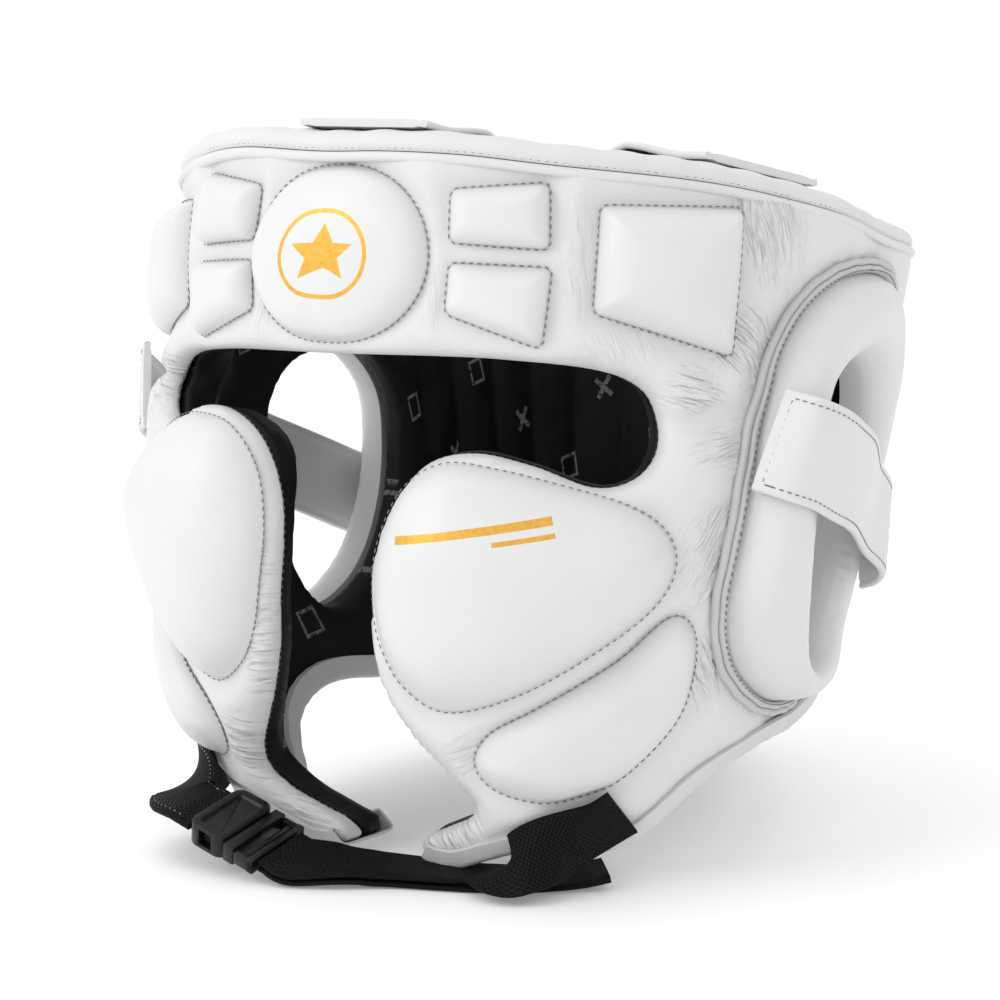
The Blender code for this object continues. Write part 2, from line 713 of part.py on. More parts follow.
def buckle_half(name, start, end, thickness):
    """One moulded half of the side-release buckle between two distances along its run."""
    middle, run, half, face = buckle_frame()
    bm = bmesh.new()
    bmesh.ops.create_cube(bm, size=1.0)
    bmesh.ops.scale(bm, vec=Vector((end - start, BUCKLE_WIDTH, thickness)), verts=bm.verts)
    upright = [e for e in bm.edges if abs(e.verts[0].co.z - e.verts[1].co.z) > WELD]
    bmesh.ops.bevel(bm, geom=upright, offset=BUCKLE_THICKNESS * BUCKLE_CORNER, segments=2, profile=0.5,
                    affect="EDGES", material=-1)
    bmesh.ops.translate(bm, vec=Vector(((start + end) / 2, 0, 0)), verts=bm.verts)
    for vert in bm.verts:
        vert.co = middle + run * vert.co.x + half * vert.co.y + face * vert.co.z
    return finish_object(name, bm, PLASTIC, False)


def chin_strap():
    """Sewn webbing, buckle and free tail, from the near jaw along the floor to the far jaw."""
    middle, run, _, face = buckle_frame()
    reach_out = BUCKLE_LENGTH / 2 + FIT_GAP + SEAT_GAP
    layer = WEBBING_THICKNESS + 2 * SEAT_GAP
    leads = [reach_out + BUCKLE_LEAD * k / 2 for k in range(3)]
    ends = [(middle + run * lead, face) for lead in leads]
    lower = [(spot - face * layer / 2, face) for spot, face in ends] + free_run(WEB_RUN)
    upper = [(spot + face * layer, face) for spot, face in lower]
    near = [seat(bearing, share, WEBBING_THICKNESS) for bearing, share in NEAR_TAB]
    strap("chin_webbing", upper + free_run(WEB_RISE) + near[::-1], WEBBING_WIDTH, WEBBING_THICKNESS, BLACK)
    strap("chin_webbing_tail", lower + free_run(TAIL_TIP), WEBBING_WIDTH, WEBBING_THICKNESS, BLACK)
    far = [seat(bearing, share, TAB_THICKNESS) for bearing, share in FAR_TAB]
    tab_end = [(middle - run * lead, face) for lead in leads[::-1]]
    strap("anchor_tab", far + free_run(ANCHOR_TAB) + tab_end, TAB_WIDTH, TAB_THICKNESS, BLACK)
    split = BUCKLE_LENGTH * (0.5 - PLUG_SHARE)
    buckle_half("buckle_socket", -BUCKLE_LENGTH / 2, split - FIT_GAP / 2, BUCKLE_THICKNESS)
    buckle_half("buckle_plug", split + FIT_GAP / 2, BUCKLE_LENGTH / 2, BUCKLE_THICKNESS * PLUG_THINNING)


def stand_on_floor():
    """Put the origin at the middle of the footprint and the lowest point at zero height."""
    corners = [vert.co for obj in bpy.context.collection.objects for vert in obj.data.vertices]
    low = Vector([min(c[k] for c in corners) for k in range(3)])
    high = Vector([max(c[k] for c in corners) for k in range(3)])
    shift = Vector((-(low.x + high.x) / 2, -(low.y + high.y) / 2, -low.z))
    for obj in bpy.context.collection.objects:
        for vert in obj.data.vertices:
            vert.co += shift


def build():
    clear_scene()
    seam = curve_through(flat(EAR_SEAM), EDGE_STEP, closed=True)
    count = len(seam)
    hole_fine = curve_through(flat(EAR_HOLE), EDGE_STEP * HOLE_STEP, closed=True)
    perimeter = sum((hole_fine[i] - hole_fine[i - 1]).length for i in range(len(hole_fine)))
    hole = resample(hole_fine, perimeter / count, True)[:count]
    ring_seam = moved_outline(seam, -FIT_GAP)
    ring_wall("outer_shell", seam, 0.0, 0.0, -SHELL_WALL, WHITE)
    lining_face = -SHELL_WALL - LINING_GAP
    ring_wall("lining", hole, LINING_RECESS, lining_face, lining_face - LINING_WALL, BLACK)
    rim_roll()
    rim_piping()
    hem()
    for side, word in ((1, "near"), (-1, "far")):
        pad("brow_pad_upper_" + word, rounded(flat(BROW_UPPER), CORNER_RADIUS, EDGE_STEP * SMALL_PAD_STEP),
            BROW_PAD_PUFF, side)
        pad("brow_pad_lower_" + word, rounded(flat(BROW_LOWER), CORNER_RADIUS, EDGE_STEP * SMALL_PAD_STEP),
            BROW_PAD_PUFF, side)
        pad("temple_pad_" + word, rounded(flat(TEMPLE), CORNER_RADIUS, EDGE_STEP * TEMPLE_PAD_STEP),
            TEMPLE_PAD_PUFF, side)
        pad("cheek_pad_" + word, curve_through(flat(CHEEK), EDGE_STEP * LARGE_PAD_STEP, closed=True),
            CHEEK_PAD_PUFF, side)
        pad("jaw_pad_" + word, curve_through(flat(JAW), EDGE_STEP * LARGE_PAD_STEP, closed=True),
            JAW_PAD_PUFF, side)
        ear_ring("ear_ring_" + word, ring_seam, hole, side)
        welt("ear_welt_" + word, seam, side)
        ear_strap("ear_strap_" + word, side)
    centre = flat([MEDALLION_PLACE])[0]
    turns = [2 * math.pi * k / MEDALLION_SIDES for k in range(MEDALLION_SIDES)]
    disc = [centre + Vector((MEDALLION_WIDTH / 2 * math.sin(turn), MEDALLION_HEIGHT / 2 * math.cos(turn)))
            for turn in turns]
    pad("medallion", disc, MEDALLION_PUFF, 1)
    half = LONG_STRAP_HALF
    crown_strap("crown_strap_long", (-half, half - 180), (half, 180 - half), LONG_STRAP_SAG)
    front, back = CROSS_STRAP_BEARING - CROSS_STRAP_HALF, CROSS_STRAP_BEARING + CROSS_STRAP_HALF
    crown_strap("crown_strap_cross", (-front, front), (-back, back), CROSS_STRAP_SAG)
    chin_strap()
    stand_on_floor()


build()
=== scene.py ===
import math

import bmesh
import bpy
import numpy as np
from bpy.props import FloatProperty, FloatVectorProperty, PointerProperty
from mathutils import Matrix, Vector, noise
from mathutils.kdtree import KDTree


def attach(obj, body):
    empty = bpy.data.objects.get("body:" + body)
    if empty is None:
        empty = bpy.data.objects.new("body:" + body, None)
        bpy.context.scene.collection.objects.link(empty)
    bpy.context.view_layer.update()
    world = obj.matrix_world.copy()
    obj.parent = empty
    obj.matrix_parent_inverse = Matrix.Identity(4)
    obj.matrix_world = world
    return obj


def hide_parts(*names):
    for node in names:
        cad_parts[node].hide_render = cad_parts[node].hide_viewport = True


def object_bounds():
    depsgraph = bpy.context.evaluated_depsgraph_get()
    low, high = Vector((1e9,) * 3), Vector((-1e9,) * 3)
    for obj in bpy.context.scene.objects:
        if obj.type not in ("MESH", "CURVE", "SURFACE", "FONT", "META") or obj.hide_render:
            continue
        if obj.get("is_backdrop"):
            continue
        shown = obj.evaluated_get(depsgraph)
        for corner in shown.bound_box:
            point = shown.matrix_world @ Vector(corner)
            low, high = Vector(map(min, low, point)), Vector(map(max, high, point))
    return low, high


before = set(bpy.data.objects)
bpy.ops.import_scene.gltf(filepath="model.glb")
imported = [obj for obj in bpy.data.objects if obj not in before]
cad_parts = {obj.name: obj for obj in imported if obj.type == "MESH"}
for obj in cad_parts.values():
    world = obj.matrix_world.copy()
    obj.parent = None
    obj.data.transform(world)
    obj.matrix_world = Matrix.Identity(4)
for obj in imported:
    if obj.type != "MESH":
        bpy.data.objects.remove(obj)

bl_info = {
    "name": "Padded Boxing Headgear",
    "version": (1, 0, 0),
    "blender": (4, 5, 0),
    "location": "3D View > Sidebar > Headgear",
    "description": "Dresses the packed headgear in leather, lining, stitches and straps",
    "category": "Object",
}

CAD_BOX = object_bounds()

# The base face of the leather, laid flat: bearing in degrees times DEGREE along, height up
SHELL_HEIGHT = 0.235
FRONT_REACH, SIDE_REACH, BACK_REACH = 0.138, 0.117, 0.133
SHELL_WALL = 0.008
LINING_WALL = 0.012
LINING_GAP = 0.0009
LINING_RECESS = 0.006
DEGREE = math.radians((FRONT_REACH + SIDE_REACH) / 2)
HALF_GIRTH = 180 * DEGREE
SHIFT = np.array((-0.004816, 0.005361, 0.0))
ROLL_HEIGHT = 0.006
ROLL_PROUD = 0.0012
PIPING_RADIUS = 0.0015
FIT_GAP = 0.0003
SEAT_GAP = 0.0004
BAND_GAP = 0.0008
HEM_HEIGHT = 0.0012
HEM_WIDTH = 0.0045
WELT_WIDTH = 0.005
EAR_PUFF = 0.014
EAR_STRAP_WIDTH = 0.031
EAR_STRAP_THICKNESS = 0.0024
CROWN_STRAP_THICKNESS = 0.0022
WEBBING_WIDTH = 0.020
WEBBING_THICKNESS = 0.0016
TAB_WIDTH = 0.022
TAB_THICKNESS = 0.003
BUCKLE_WIDTH, BUCKLE_LENGTH, BUCKLE_THICKNESS = 0.024, 0.027, 0.008
CHIN_ASIDE, CHIN_FORWARD, CHIN_UP = 0.075, 0.140, 0.030

# How the far side rests: the front lifted and drawn back, the ear tucked in
CHEEK_DRAW, FAR_LIFT, EAR_TUCK = 0.018, 0.014, 0.014
CHEEK_SIDE = 0.090
DRAW_ONSET, DRAW_LIMIT, LIFT_SPAN = 10, 1.2, 0.75
TUCK_ONSET, TUCK_FADE = 1.35, 1.6

# Fineness of the meshes
SHELL_PITCH, LINING_PITCH, WALL_LAYERS = 0.00195, 0.0022, 3
EDGE_STEP, PAD_STEP, SEAM_STEP, HEM_STEP = 0.0004, 0.0006, 0.001, 0.0016
PAD_PITCH, PAD_ROWS = 0.0008, 34
MERGE = 1e-6

# Rounded edges, seams and waves of the two walls
EDGE_SOFT, EDGE_CROWDING = 0.0055, 0.8
OUTER_LIP, FACE_LIP, INNER_LIP = 0.0016, 0.0040, 0.0010
LINING_OUTER_LIP, LINING_INNER_LIP = 0.0022, 0.0050
GROOVE_WIDTH = 0.0019
SWELL, SWELL_SPAN = 0.0020, 0.009
UNDER_PADS = -0.0012
FOLD_HEIGHT, FOLD_SPACING = 0.00085, 0.0062
# height, spacing and seed of each wave
SHELL_WAVES = ((0.0006, 0.021, 0.0), (0.00022, 0.008, 4.0))
LINING_WAVES = ((0.0010, 0.024, 9.0), (0.0004, 0.009, 5.0))
CHANNEL_PITCH, CHANNEL_DEPTH, CHANNEL_FULLNESS = 0.0265, 0.0028, 0.55

# Pads: share of a mesh row that is underside, crowding of rows at the rim, share of the height
# that the rounded edge gives and how full it is
PAD_UNDER, PAD_CROWDING = 0.25, 1.9
SHOULDER_SHARE, SHOULDER_FULLNESS = 0.74, 2.3
GATHER = 0.00022
STITCH_INSET = 0.0003

# Ear ring: share of its mesh rows that go down into each seam, and how deep, and its puckers
RING_FOOT, RING_FLOOR = 0.06, -0.0065
RING_GATHERS, RING_GATHER = 175, 0.00030
RING_PUCKERS, RING_PUCKER = 22, 0.0003
FAR_FLATTENING, STRAP_FLATTENING = 0.7, 0.43
WELT_HEIGHT, WELT_DROP, WELT_WAVE = 0.0019, 0.0010, 0.06

# Borders of the straps, and the crown straps' dip and ledge
EAR_BORDER, CROWN_BORDER, WEBBING_BORDER, TAB_BORDER = 0.0024, 0.0026, 0.0012, 0.0022
STRAP_SEAT = 0.0056
CROWN_LEDGE, CROWN_HUMP, CROWN_SEAT = 0.15, 0.0030, 0.0013
LONG_HALF, CROSS_BEARING, CROSS_HALF = 10.5, 61, 11
LONG_SAG, CROSS_SAG = 0.013, 0.020

# Photograph's viewpoint
CAMERA_TURN, CAMERA_TILT, CAMERA_REACH = 30, 7, 0.700
CAMERA_AIM = (0.0, -0.037, 0.107)
CAMERA_LENS, SENSOR = 75.6, 36.0

BEARINGS = (0, 30, 55, 90, 130, 180)
REACHES = (FRONT_REACH, FRONT_REACH, FRONT_REACH, SIDE_REACH, BACK_REACH, BACK_REACH)
# height share of SHELL_HEIGHT, then the radius at each bearing as a share of its reach
PROFILE = (
    (-0.02, 0.768, 0.797, 0.739, 0.701, 0.632, 0.737),
    (0.13, 0.870, 0.899, 0.812, 0.769, 0.692, 0.782),
    (0.26, 0.949, 0.971, 0.899, 0.812, 0.729, 0.812),
    (0.40, 1.000, 1.014, 0.964, 0.863, 0.782, 0.865),
    (0.55, 0.978, 1.000, 0.978, 0.906, 0.842, 0.932),
    (0.68, 0.928, 0.949, 0.942, 0.940, 0.895, 0.985),
    (0.83, 0.913, 0.935, 0.920, 1.000, 0.925, 1.000),
    (1.00, 0.877, 0.891, 0.862, 0.966, 0.887, 0.955),
)
# bearing, height share, half-width in degrees, half-height share, depth as a share of SHELL_WALL
FOLDS = (
    (50, 0.60, 9, 0.05, -0.30), (62, 0.90, 8, 0.12, -0.20), (44, 0.28, 8, 0.09, -0.30),
    (30, 0.50, 22, 0.05, -0.15), (150, 0.55, 16, 0.25, 0.25),
)
# height share, draw share, lift share of the far front
FAR_SETTLE = (
    (0.0, 0.0, 0.0), (0.06, 0.15, 0.0), (0.15, 0.9, 0.05), (0.24, 1.0, 0.15), (0.32, 0.8, 0.35),
    (0.45, 0.4, 0.80), (0.52, 0.27, 1.0), (0.58, 0.25, 0.95), (0.67, 0.30, 0.10),
    (0.78, 0.25, 0.08), (0.86, 0.12, 0.25), (0.93, 0.10, 0.55), (1.0, 0.10, 0.55),
)
# bearing, height share
RIM_LINE = (
    (0, 0.956), (15, 0.950), (29, 0.935), (50, 0.915), (72, 0.883),
    (90, 0.853), (110, 0.838), (130, 0.830), (180, 0.826),
)
FACE_EDGE = (
    (0, 0.679), (12, 0.679), (22, 0.676), (34, 0.664), (40, 0.640), (42, 0.600), (41.5, 0.560),
    (38.5, 0.530), (33.5, 0.522), (26, 0.548), (18.6, 0.562), (12.3, 0.547), (7.8, 0.495),
    (5.6, 0.430), (4.9, 0.365), (4.8, 0.295), (6.0, 0.245), (9.4, 0.190), (13.9, 0.145),
    (17.0, 0.112), (16.2, 0.086), (12.3, 0.067), (8.5, 0.052),
)
BOTTOM_EDGE = (
    (8.5, 0.052), (7, 0.034), (9, 0.020), (13.5, 0.018), (19, 0.036), (25, 0.052), (31, 0.050),
    (36, 0.048), (42, 0.067), (51, 0.129), (60, 0.160), (68, 0.168), (80, 0.160), (95, 0.155),
    (120, 0.160), (138, 0.160), (150, 0.142), (158, 0.085), (166, 0.018), (171, 0.0), (176, 0.0),
    (180, 0.0),
)
EAR_SEAM = (
    (87, 0.778), (75, 0.772), (66, 0.742), (60, 0.690), (57, 0.630), (54, 0.555), (52, 0.470),
    (50.5, 0.380), (52, 0.310), (56, 0.262), (63, 0.226), (74, 0.208), (86, 0.203), (97, 0.225),
    (105, 0.285), (110, 0.370), (113, 0.470), (114, 0.560), (112, 0.650), (106, 0.725),
    (98, 0.765),
)
EAR_HOLE = (
    (84, 0.660), (75, 0.655), (68, 0.625), (64.8, 0.550), (64.5, 0.460), (65.5, 0.370),
    (67, 0.300), (72, 0.268), (80, 0.288), (88.5, 0.345), (95, 0.420), (98.5, 0.500), (99, 0.580),
    (93, 0.640),
)
BROW_UPPER = ((15, 0.882), (28, 0.889), (28, 0.809), (15, 0.818))
BROW_LOWER = ((15, 0.793), (28.3, 0.787), (27, 0.690), (14.4, 0.732))
TEMPLE = ((34.5, 0.862), (54.4, 0.860), (51.8, 0.678), (33.5, 0.733))
CHEEK = (
    (15.3, 0.551), (10.0, 0.518), (7.0, 0.450), (6.3, 0.380), (6.8, 0.320), (9.4, 0.268),
    (15.0, 0.240), (24, 0.266), (33.6, 0.322), (40.5, 0.375), (43.2, 0.425), (42, 0.470),
    (37.5, 0.502), (29.5, 0.527), (22, 0.545),
)
JAW = (
    (18.2, 0.172), (20.4, 0.212), (26, 0.245), (31.4, 0.277), (37.1, 0.313), (43, 0.362),
    (46.3, 0.345), (47.4, 0.290), (45.6, 0.220), (38.4, 0.152), (32.2, 0.128), (26.8, 0.120),
    (20.6, 0.137),
)
TEMPLE_FOLD = ((42.8, 0.602), (48, 0.608), (52.5, 0.604))
MEDALLION_PLACE = (-1.2, 0.804)
MEDALLION_WIDTH, MEDALLION_HEIGHT = 0.059, 0.0515
CORNER_RADIUS = 0.0025
# way across the ear ring from its seam to its hole, share of EAR_PUFF
EAR_SECTION = (
    (0.0, 0.02), (0.10, 0.46), (0.28, 0.86), (0.52, 1.0), (0.76, 0.84), (0.93, 0.40), (1.0, 0.0),
)
# bearing, middle height share, clearance as a share of EAR_PUFF
EAR_STRAP = (
    (54.7, 0.580, 0.45), (57.0, 0.570, 1.04), (60.5, 0.557, 1.16), (65, 0.537, 1.12),
    (72, 0.514, 0.98), (80, 0.487, 0.88), (88, 0.461, 0.88), (95, 0.438, 0.98), (100, 0.421, 1.02),
    (105, 0.405, 0.92), (109.5, 0.390, 0.72), (113, 0.380, 0.30),
)
NEAR_TAB = ((38, 0.112), (34, 0.090))
FAR_TAB = ((-47, 0.117), (-42, 0.093))
# aside, forward and up shares, then how far the face leans to the front in degrees
WEB_RUN = (
    (-0.060, 0.910, 0.140, 14), (0.050, 0.868, 0.085, 8), (0.160, 0.834, 0.050, 3),
    (0.330, 0.802, 0.030, 0), (0.480, 0.772, 0.028, 0),
)
WEB_RISE = ((0.640, 0.832, 0.280, 33), (0.735, 0.824, 0.415, 76))
TAIL_TIP = ((0.640, 0.726, 0.034, 0), (0.790, 0.668, 0.060, 0), (0.890, 0.630, 0.115, 0))
ANCHOR_TAB = ((-0.910, 0.850, 0.630, 50), (-0.850, 0.908, 0.620, 20))
BUCKLE_PLACE = (-0.480, 0.940, 0.390)
BUCKLE_LEAD = 0.007
BUCKLE_RUN = (0.93, -0.06, -0.28)
BUCKLE_LEAN = 14
# where the leather creases: side, bearing, height share, half-width in degrees, half-height
# share, lean of the creases from upright in degrees, strength
CREASES = (
    (1, 58.5, 0.850, 7, 0.090, 8, 1.0), (1, 54, 0.690, 7, 0.055, 40, 1.0),
    (1, 47, 0.640, 5, 0.040, 75, 0.9), (1, 50, 0.560, 6, 0.060, 100, 0.7),
    (1, 49, 0.440, 5, 0.100, 148, 0.9), (1, 49, 0.300, 4, 0.080, 28, 0.7),
    (1, 31, 0.800, 2.5, 0.100, 6, 0.5), (1, 36, 0.690, 9, 0.025, 20, 0.5),
    (1, 12, 0.080, 6, 0.060, 35, 1.0), (1, 17, 0.190, 4, 0.060, 110, 0.4),
    (1, 75, 0.180, 16, 0.030, 60, 0.4), (-1, 58.5, 0.850, 7, 0.090, -8, 1.0),
    (-1, 44, 0.600, 5, 0.080, 60, 0.9), (-1, 6.2, 0.300, 2.2, 0.160, 95, 0.8),
    (-1, 12, 0.110, 6, 0.080, 75, 1.0), (-1, 49, 0.440, 5, 0.120, 40, 0.8),
    (-1, 33, 0.800, 3, 0.100, -6, 0.5), (-1, 12.5, 0.760, 2, 0.080, 0, 0.5),
    (1, 12.8, 0.760, 2, 0.080, 0, 0.4), (1, 140, 0.500, 18, 0.250, 80, 0.3),
    (-1, 140, 0.500, 18, 0.250, -80, 0.3),
)


def ramp(x, low=0.0, high=1.0):
    """Smooth step from low to high."""
    t = np.clip((x - low) / (high - low), 0.0, 1.0)
    return t * t * (3 - 2 * t)


def hermite(stops, values, x):
    """Smooth value at every x through the stops, level beyond both ends."""
    stops = np.asarray(stops, float)
    x = np.clip(np.asarray(x, float), stops[0], stops[-1])
    values = np.stack([np.broadcast_to(np.asarray(v, float), x.shape) for v in values])
    spans = np.diff(stops)
    slopes = np.zeros_like(values)
    wide = (spans[1:] + spans[:-1]).reshape(-1, *([1] * x.ndim))
    slopes[1:-1] = (values[2:] - values[:-2]) / wide
    i = np.clip(np.searchsorted(stops, x, side="right") - 1, 0, len(stops) - 2)
    t = (x - stops[i]) / spans[i]
    step = spans[i]

    def take(table, k):
        return np.take_along_axis(table, k[None], 0)[0]

    return ((2 * t**3 - 3 * t**2 + 1) * take(values, i) + (t**3 - 2 * t**2 + t) * step * take(slopes, i)
            + (3 * t**2 - 2 * t**3) * take(values, i + 1) + (t**3 - t**2) * step * take(slopes, i + 1))


def columns(table, *scales):
    """Columns of a table, each times its scale."""
    return [[row[k] * scale for row in table] for k, scale in enumerate(scales)]


def reach(bearing, z):
    """Radius of the leather's base face."""
    side = np.abs(bearing)
    heights = [row[0] * SHELL_HEIGHT for row in PROFILE]
    column = [hermite(heights, [row[k + 1] * REACHES[k] for row in PROFILE], z) for k in range(len(BEARINGS))]
    radius = hermite(BEARINGS, column, side)
    for angle, height, half_angle, half_height, depth in FOLDS:
        away = ((side - angle) / half_angle)**2 + ((z / SHELL_HEIGHT - height) / half_height)**2
        radius = radius + depth * SHELL_WALL * np.exp(-away)
    return radius


def ring_place(bearing, z, off=0.0):
    radius = reach(bearing, z) + off
    angle = np.radians(bearing)
    return np.stack((radius * np.sin(angle), -radius * np.cos(angle), z + 0 * radius), -1)


def settle(points):
    """Move the far side to where it rests, then from the ring's middle to the frame."""
    x, y, z = points[..., 0], points[..., 1], points[..., 2]
    aside = -x / CHEEK_SIDE
    front = ramp(-y / FRONT_REACH)
    heights, draws, lifts = columns(FAR_SETTLE, SHELL_HEIGHT, CHEEK_DRAW, FAR_LIFT)
    draw = hermite(heights, draws, z) * ramp(aside * DRAW_ONSET) * ramp(DRAW_LIMIT - aside) * front
    lift = hermite(heights, lifts, z) * ramp(aside / LIFT_SPAN) * front
    behind = ramp(TUCK_ONSET + 2 * y / FRONT_REACH)
    tuck = EAR_TUCK * ramp(aside) * behind * ramp(TUCK_FADE * (1 - y / BACK_REACH))
    return points + np.stack((tuck - draw, 0 * x, lift), -1) + SHIFT


def on_leather(spots, off=0.0):
    """Places of flat spots, lifted off the leather's base face."""
    return settle(ring_place(spots[..., 0] / DEGREE, spots[..., 1], off))


def unit(vectors):
    return vectors / np.maximum(np.linalg.norm(vectors, axis=-1, keepdims=True), 1e-12)


def leather_normal(spots, step=0.002):
    """Direction that the leather faces at flat spots."""
    right, up = np.array((step, 0.0)), np.array((0.0, step))
    along = on_leather(spots + right) - on_leather(spots - right)
    rise = on_leather(spots + up) - on_leather(spots - up)
    return unit(np.cross(along, rise))


def rim_height(bearing):
    stops, heights = columns(RIM_LINE, 1, SHELL_HEIGHT)
    return hermite(stops, heights, np.abs(bearing))


def flat(points, side=1):
    return np.array([(side * bearing * DEGREE, share * SHELL_HEIGHT) for bearing, share in points])


def lengths_of(points, closed=False):
    chain = np.vstack((points, points[:1])) if closed else points
    return np.concatenate(([0.0], np.cumsum(np.linalg.norm(np.diff(chain, axis=0), axis=1)))), chain


def along(points, shares, closed=False):
    """Points at shares of a chain's length."""
    lengths, chain = lengths_of(points, closed)
    at = np.asarray(shares) * lengths[-1]
    return np.stack([np.interp(at, lengths, chain[:, k]) for k in range(chain.shape[1])], -1)


def evenly(points, step, closed=False):
    """Even points about one step apart."""
    count = max(3, round(lengths_of(points, closed)[0][-1] / step))
    shares = np.arange(count) / count if closed else np.linspace(0, 1, count + 1)
    return along(points, shares, closed)


def smooth_curve(points, fine=12, closed=False):
    """Points on a Catmull-Rom curve through given points."""
    points = np.asarray(points, float)
    count = len(points)
    chain = []
    for i in range(count if closed else count - 1):
        picks = [(i + k - 1) % count if closed else min(count - 1, max(0, i + k - 1)) for k in range(4)]
        a, b, c, d = points[picks]
        for t in np.arange(fine) / fine:
            chain.append(0.5 * (2 * b + (c - a) * t + (2 * a - 5 * b + 4 * c - d) * t**2
                                + (3 * b - a - 3 * c + d) * t**3))
    if not closed:
        chain.append(points[-1])
    return np.array(chain)


def round_corners(points, radius):
    """A polygon with rounded corners."""
    chain = []
    for i in range(len(points)):
        corner, t = points[i], np.linspace(0, 1, 7)[:, None]
        start = corner + unit(points[i - 1] - corner) * radius
        end = corner + unit(points[(i + 1) % len(points)] - corner) * radius
        chain.append(start * (1 - t)**2 + corner * 2 * t * (1 - t) + end * t**2)
    return np.vstack(chain)


def moved(points, shift):
    """A closed outline moved outward by a distance, or inward if it is negative."""
    run = unit(np.roll(points, -1, 0) - np.roll(points, 1, 0))
    x, y = points.T
    turn = np.sign(np.sum(np.roll(x, 1) * y - x * np.roll(y, 1)))
    return points + np.stack((run[:, 1], -run[:, 0]), -1) * shift * turn


def inside(spots, outline):
    hit = np.zeros(len(spots), bool)
    for a, b in zip(outline, np.roll(outline, -1, 0)):
        if a[1] != b[1]:
            between = (a[1] > spots[:, 1]) != (b[1] > spots[:, 1])
            hit ^= between & (spots[:, 0] < a[0] + (spots[:, 1] - a[1]) * (b[0] - a[0]) / (b[1] - a[1]))
    return hit


def nearest(spots, chain):
    """Distance of every spot to a chain of fine points, and the nearest point."""
    tree = KDTree(len(chain))
    for i, point in enumerate(chain):
        tree.insert((*point, 0.0), i)
    tree.balance()
    found = [tree.find((x, y, 0.0)) for x, y in spots]
    return np.array([f[2] for f in found]), chain[[f[1] for f in found]]


def rumple(spots, scale, seed=0.0):
    """Smooth noise from -1 to 1 at flat spots, the same each run."""
    return np.array([noise.noise((x / scale, y / scale, seed)) for x, y in spots])


def waves(spots, table):
    return sum(height * rumple(spots, spacing, seed) for height, spacing, seed in table)


def crease_field(spots):
    """Along, across and strength of the creases at flat spots, fading where two zones meet."""
    strength, second = np.zeros(len(spots)), np.zeros(len(spots))
    across, down = spots[:, 0].copy(), spots[:, 1].copy()
    for side, bearing, height, half_angle, half_height, lean, power in CREASES:
        dx = (spots[:, 0] / DEGREE - side * bearing) / half_angle
        dy = (spots[:, 1] / SHELL_HEIGHT - height) / half_height
        here = power * np.exp(-(dx * dx + dy * dy))
        angle = math.radians(lean)
        own_across = spots[:, 0] * math.cos(angle) + spots[:, 1] * math.sin(angle)
        own_down = spots[:, 1] * math.cos(angle) - spots[:, 0] * math.sin(angle)
        first = here > strength
        across, down = np.where(first, own_across, across), np.where(first, own_down, down)
        second = np.where(first, strength, np.maximum(second, here))
        strength = np.maximum(strength, here)
    lead = (strength - second) / (strength + 1e-6)
    return np.stack((across, down, strength * ramp(lead, 0.25, 0.70)), -1)


# Outlines shared by the pieces


def face_edge(side=1):
    return smooth_curve(flat(FACE_EDGE, side), 40)


def bottom_edge(side=1):
    edge = smooth_curve(flat(BOTTOM_EDGE, side), 40)
    edge[:, 1] = np.maximum(edge[:, 1], 0.0)
    return edge


def ear_seam(side=1):
    return evenly(smooth_curve(flat(EAR_SEAM, side), 20, True), SEAM_STEP, True)


def ear_hole(side=1):
    """Points of the ear hole, one for each point of the ear seam."""
    hole = smooth_curve(flat(EAR_HOLE, side), 20, True)
    return along(hole, np.arange(len(ear_seam())) / len(ear_seam()), True)


def pad_outlines(side=1):
    """Name, outline, and the height and width of the rounded edge of each pad of one side."""
    word = "near" if side > 0 else "far"
    boxes = (("brow_pad_upper_", BROW_UPPER, (0.0055, 0.0065)),
             ("brow_pad_lower_", BROW_LOWER, (0.0055, 0.0065)), ("temple_pad_", TEMPLE, (0.008, 0.010)))
    for name, table, puff in boxes:
        yield name + word, evenly(round_corners(flat(table, side), CORNER_RADIUS), PAD_STEP, True), puff
    for name, table, puff in (("cheek_pad_", CHEEK, (0.013, 0.021)), ("jaw_pad_", JAW, (0.009, 0.013))):
        yield name + word, evenly(smooth_curve(flat(table, side), 20, True), PAD_STEP, True), puff


def medallion_outline():
    turn = np.linspace(0, 2 * math.pi, 280, endpoint=False)[:, None]
    centre = flat((MEDALLION_PLACE,))
    half = np.array((MEDALLION_WIDTH, MEDALLION_HEIGHT)) / 2
    return centre + np.hstack((np.sin(turn), np.cos(turn))) * half


# Shader expressions


class Value:
    """A shader socket that takes part in Python expressions."""

    def __init__(self, finish, socket):
        self.finish = finish
        self.socket = socket

    def __add__(self, other):
        return self.finish.maths("ADD", self, other)

    __radd__ = __add__

    def __sub__(self, other):
        return self.finish.maths("SUBTRACT", self, other)

    def __rsub__(self, other):
        return self.finish.maths("SUBTRACT", other, self)

    def __mul__(self, other):
        return self.finish.maths("MULTIPLY", self, other)

    __rmul__ = __mul__

    def __truediv__(self, other):
        return self.finish.maths("DIVIDE", self, other)


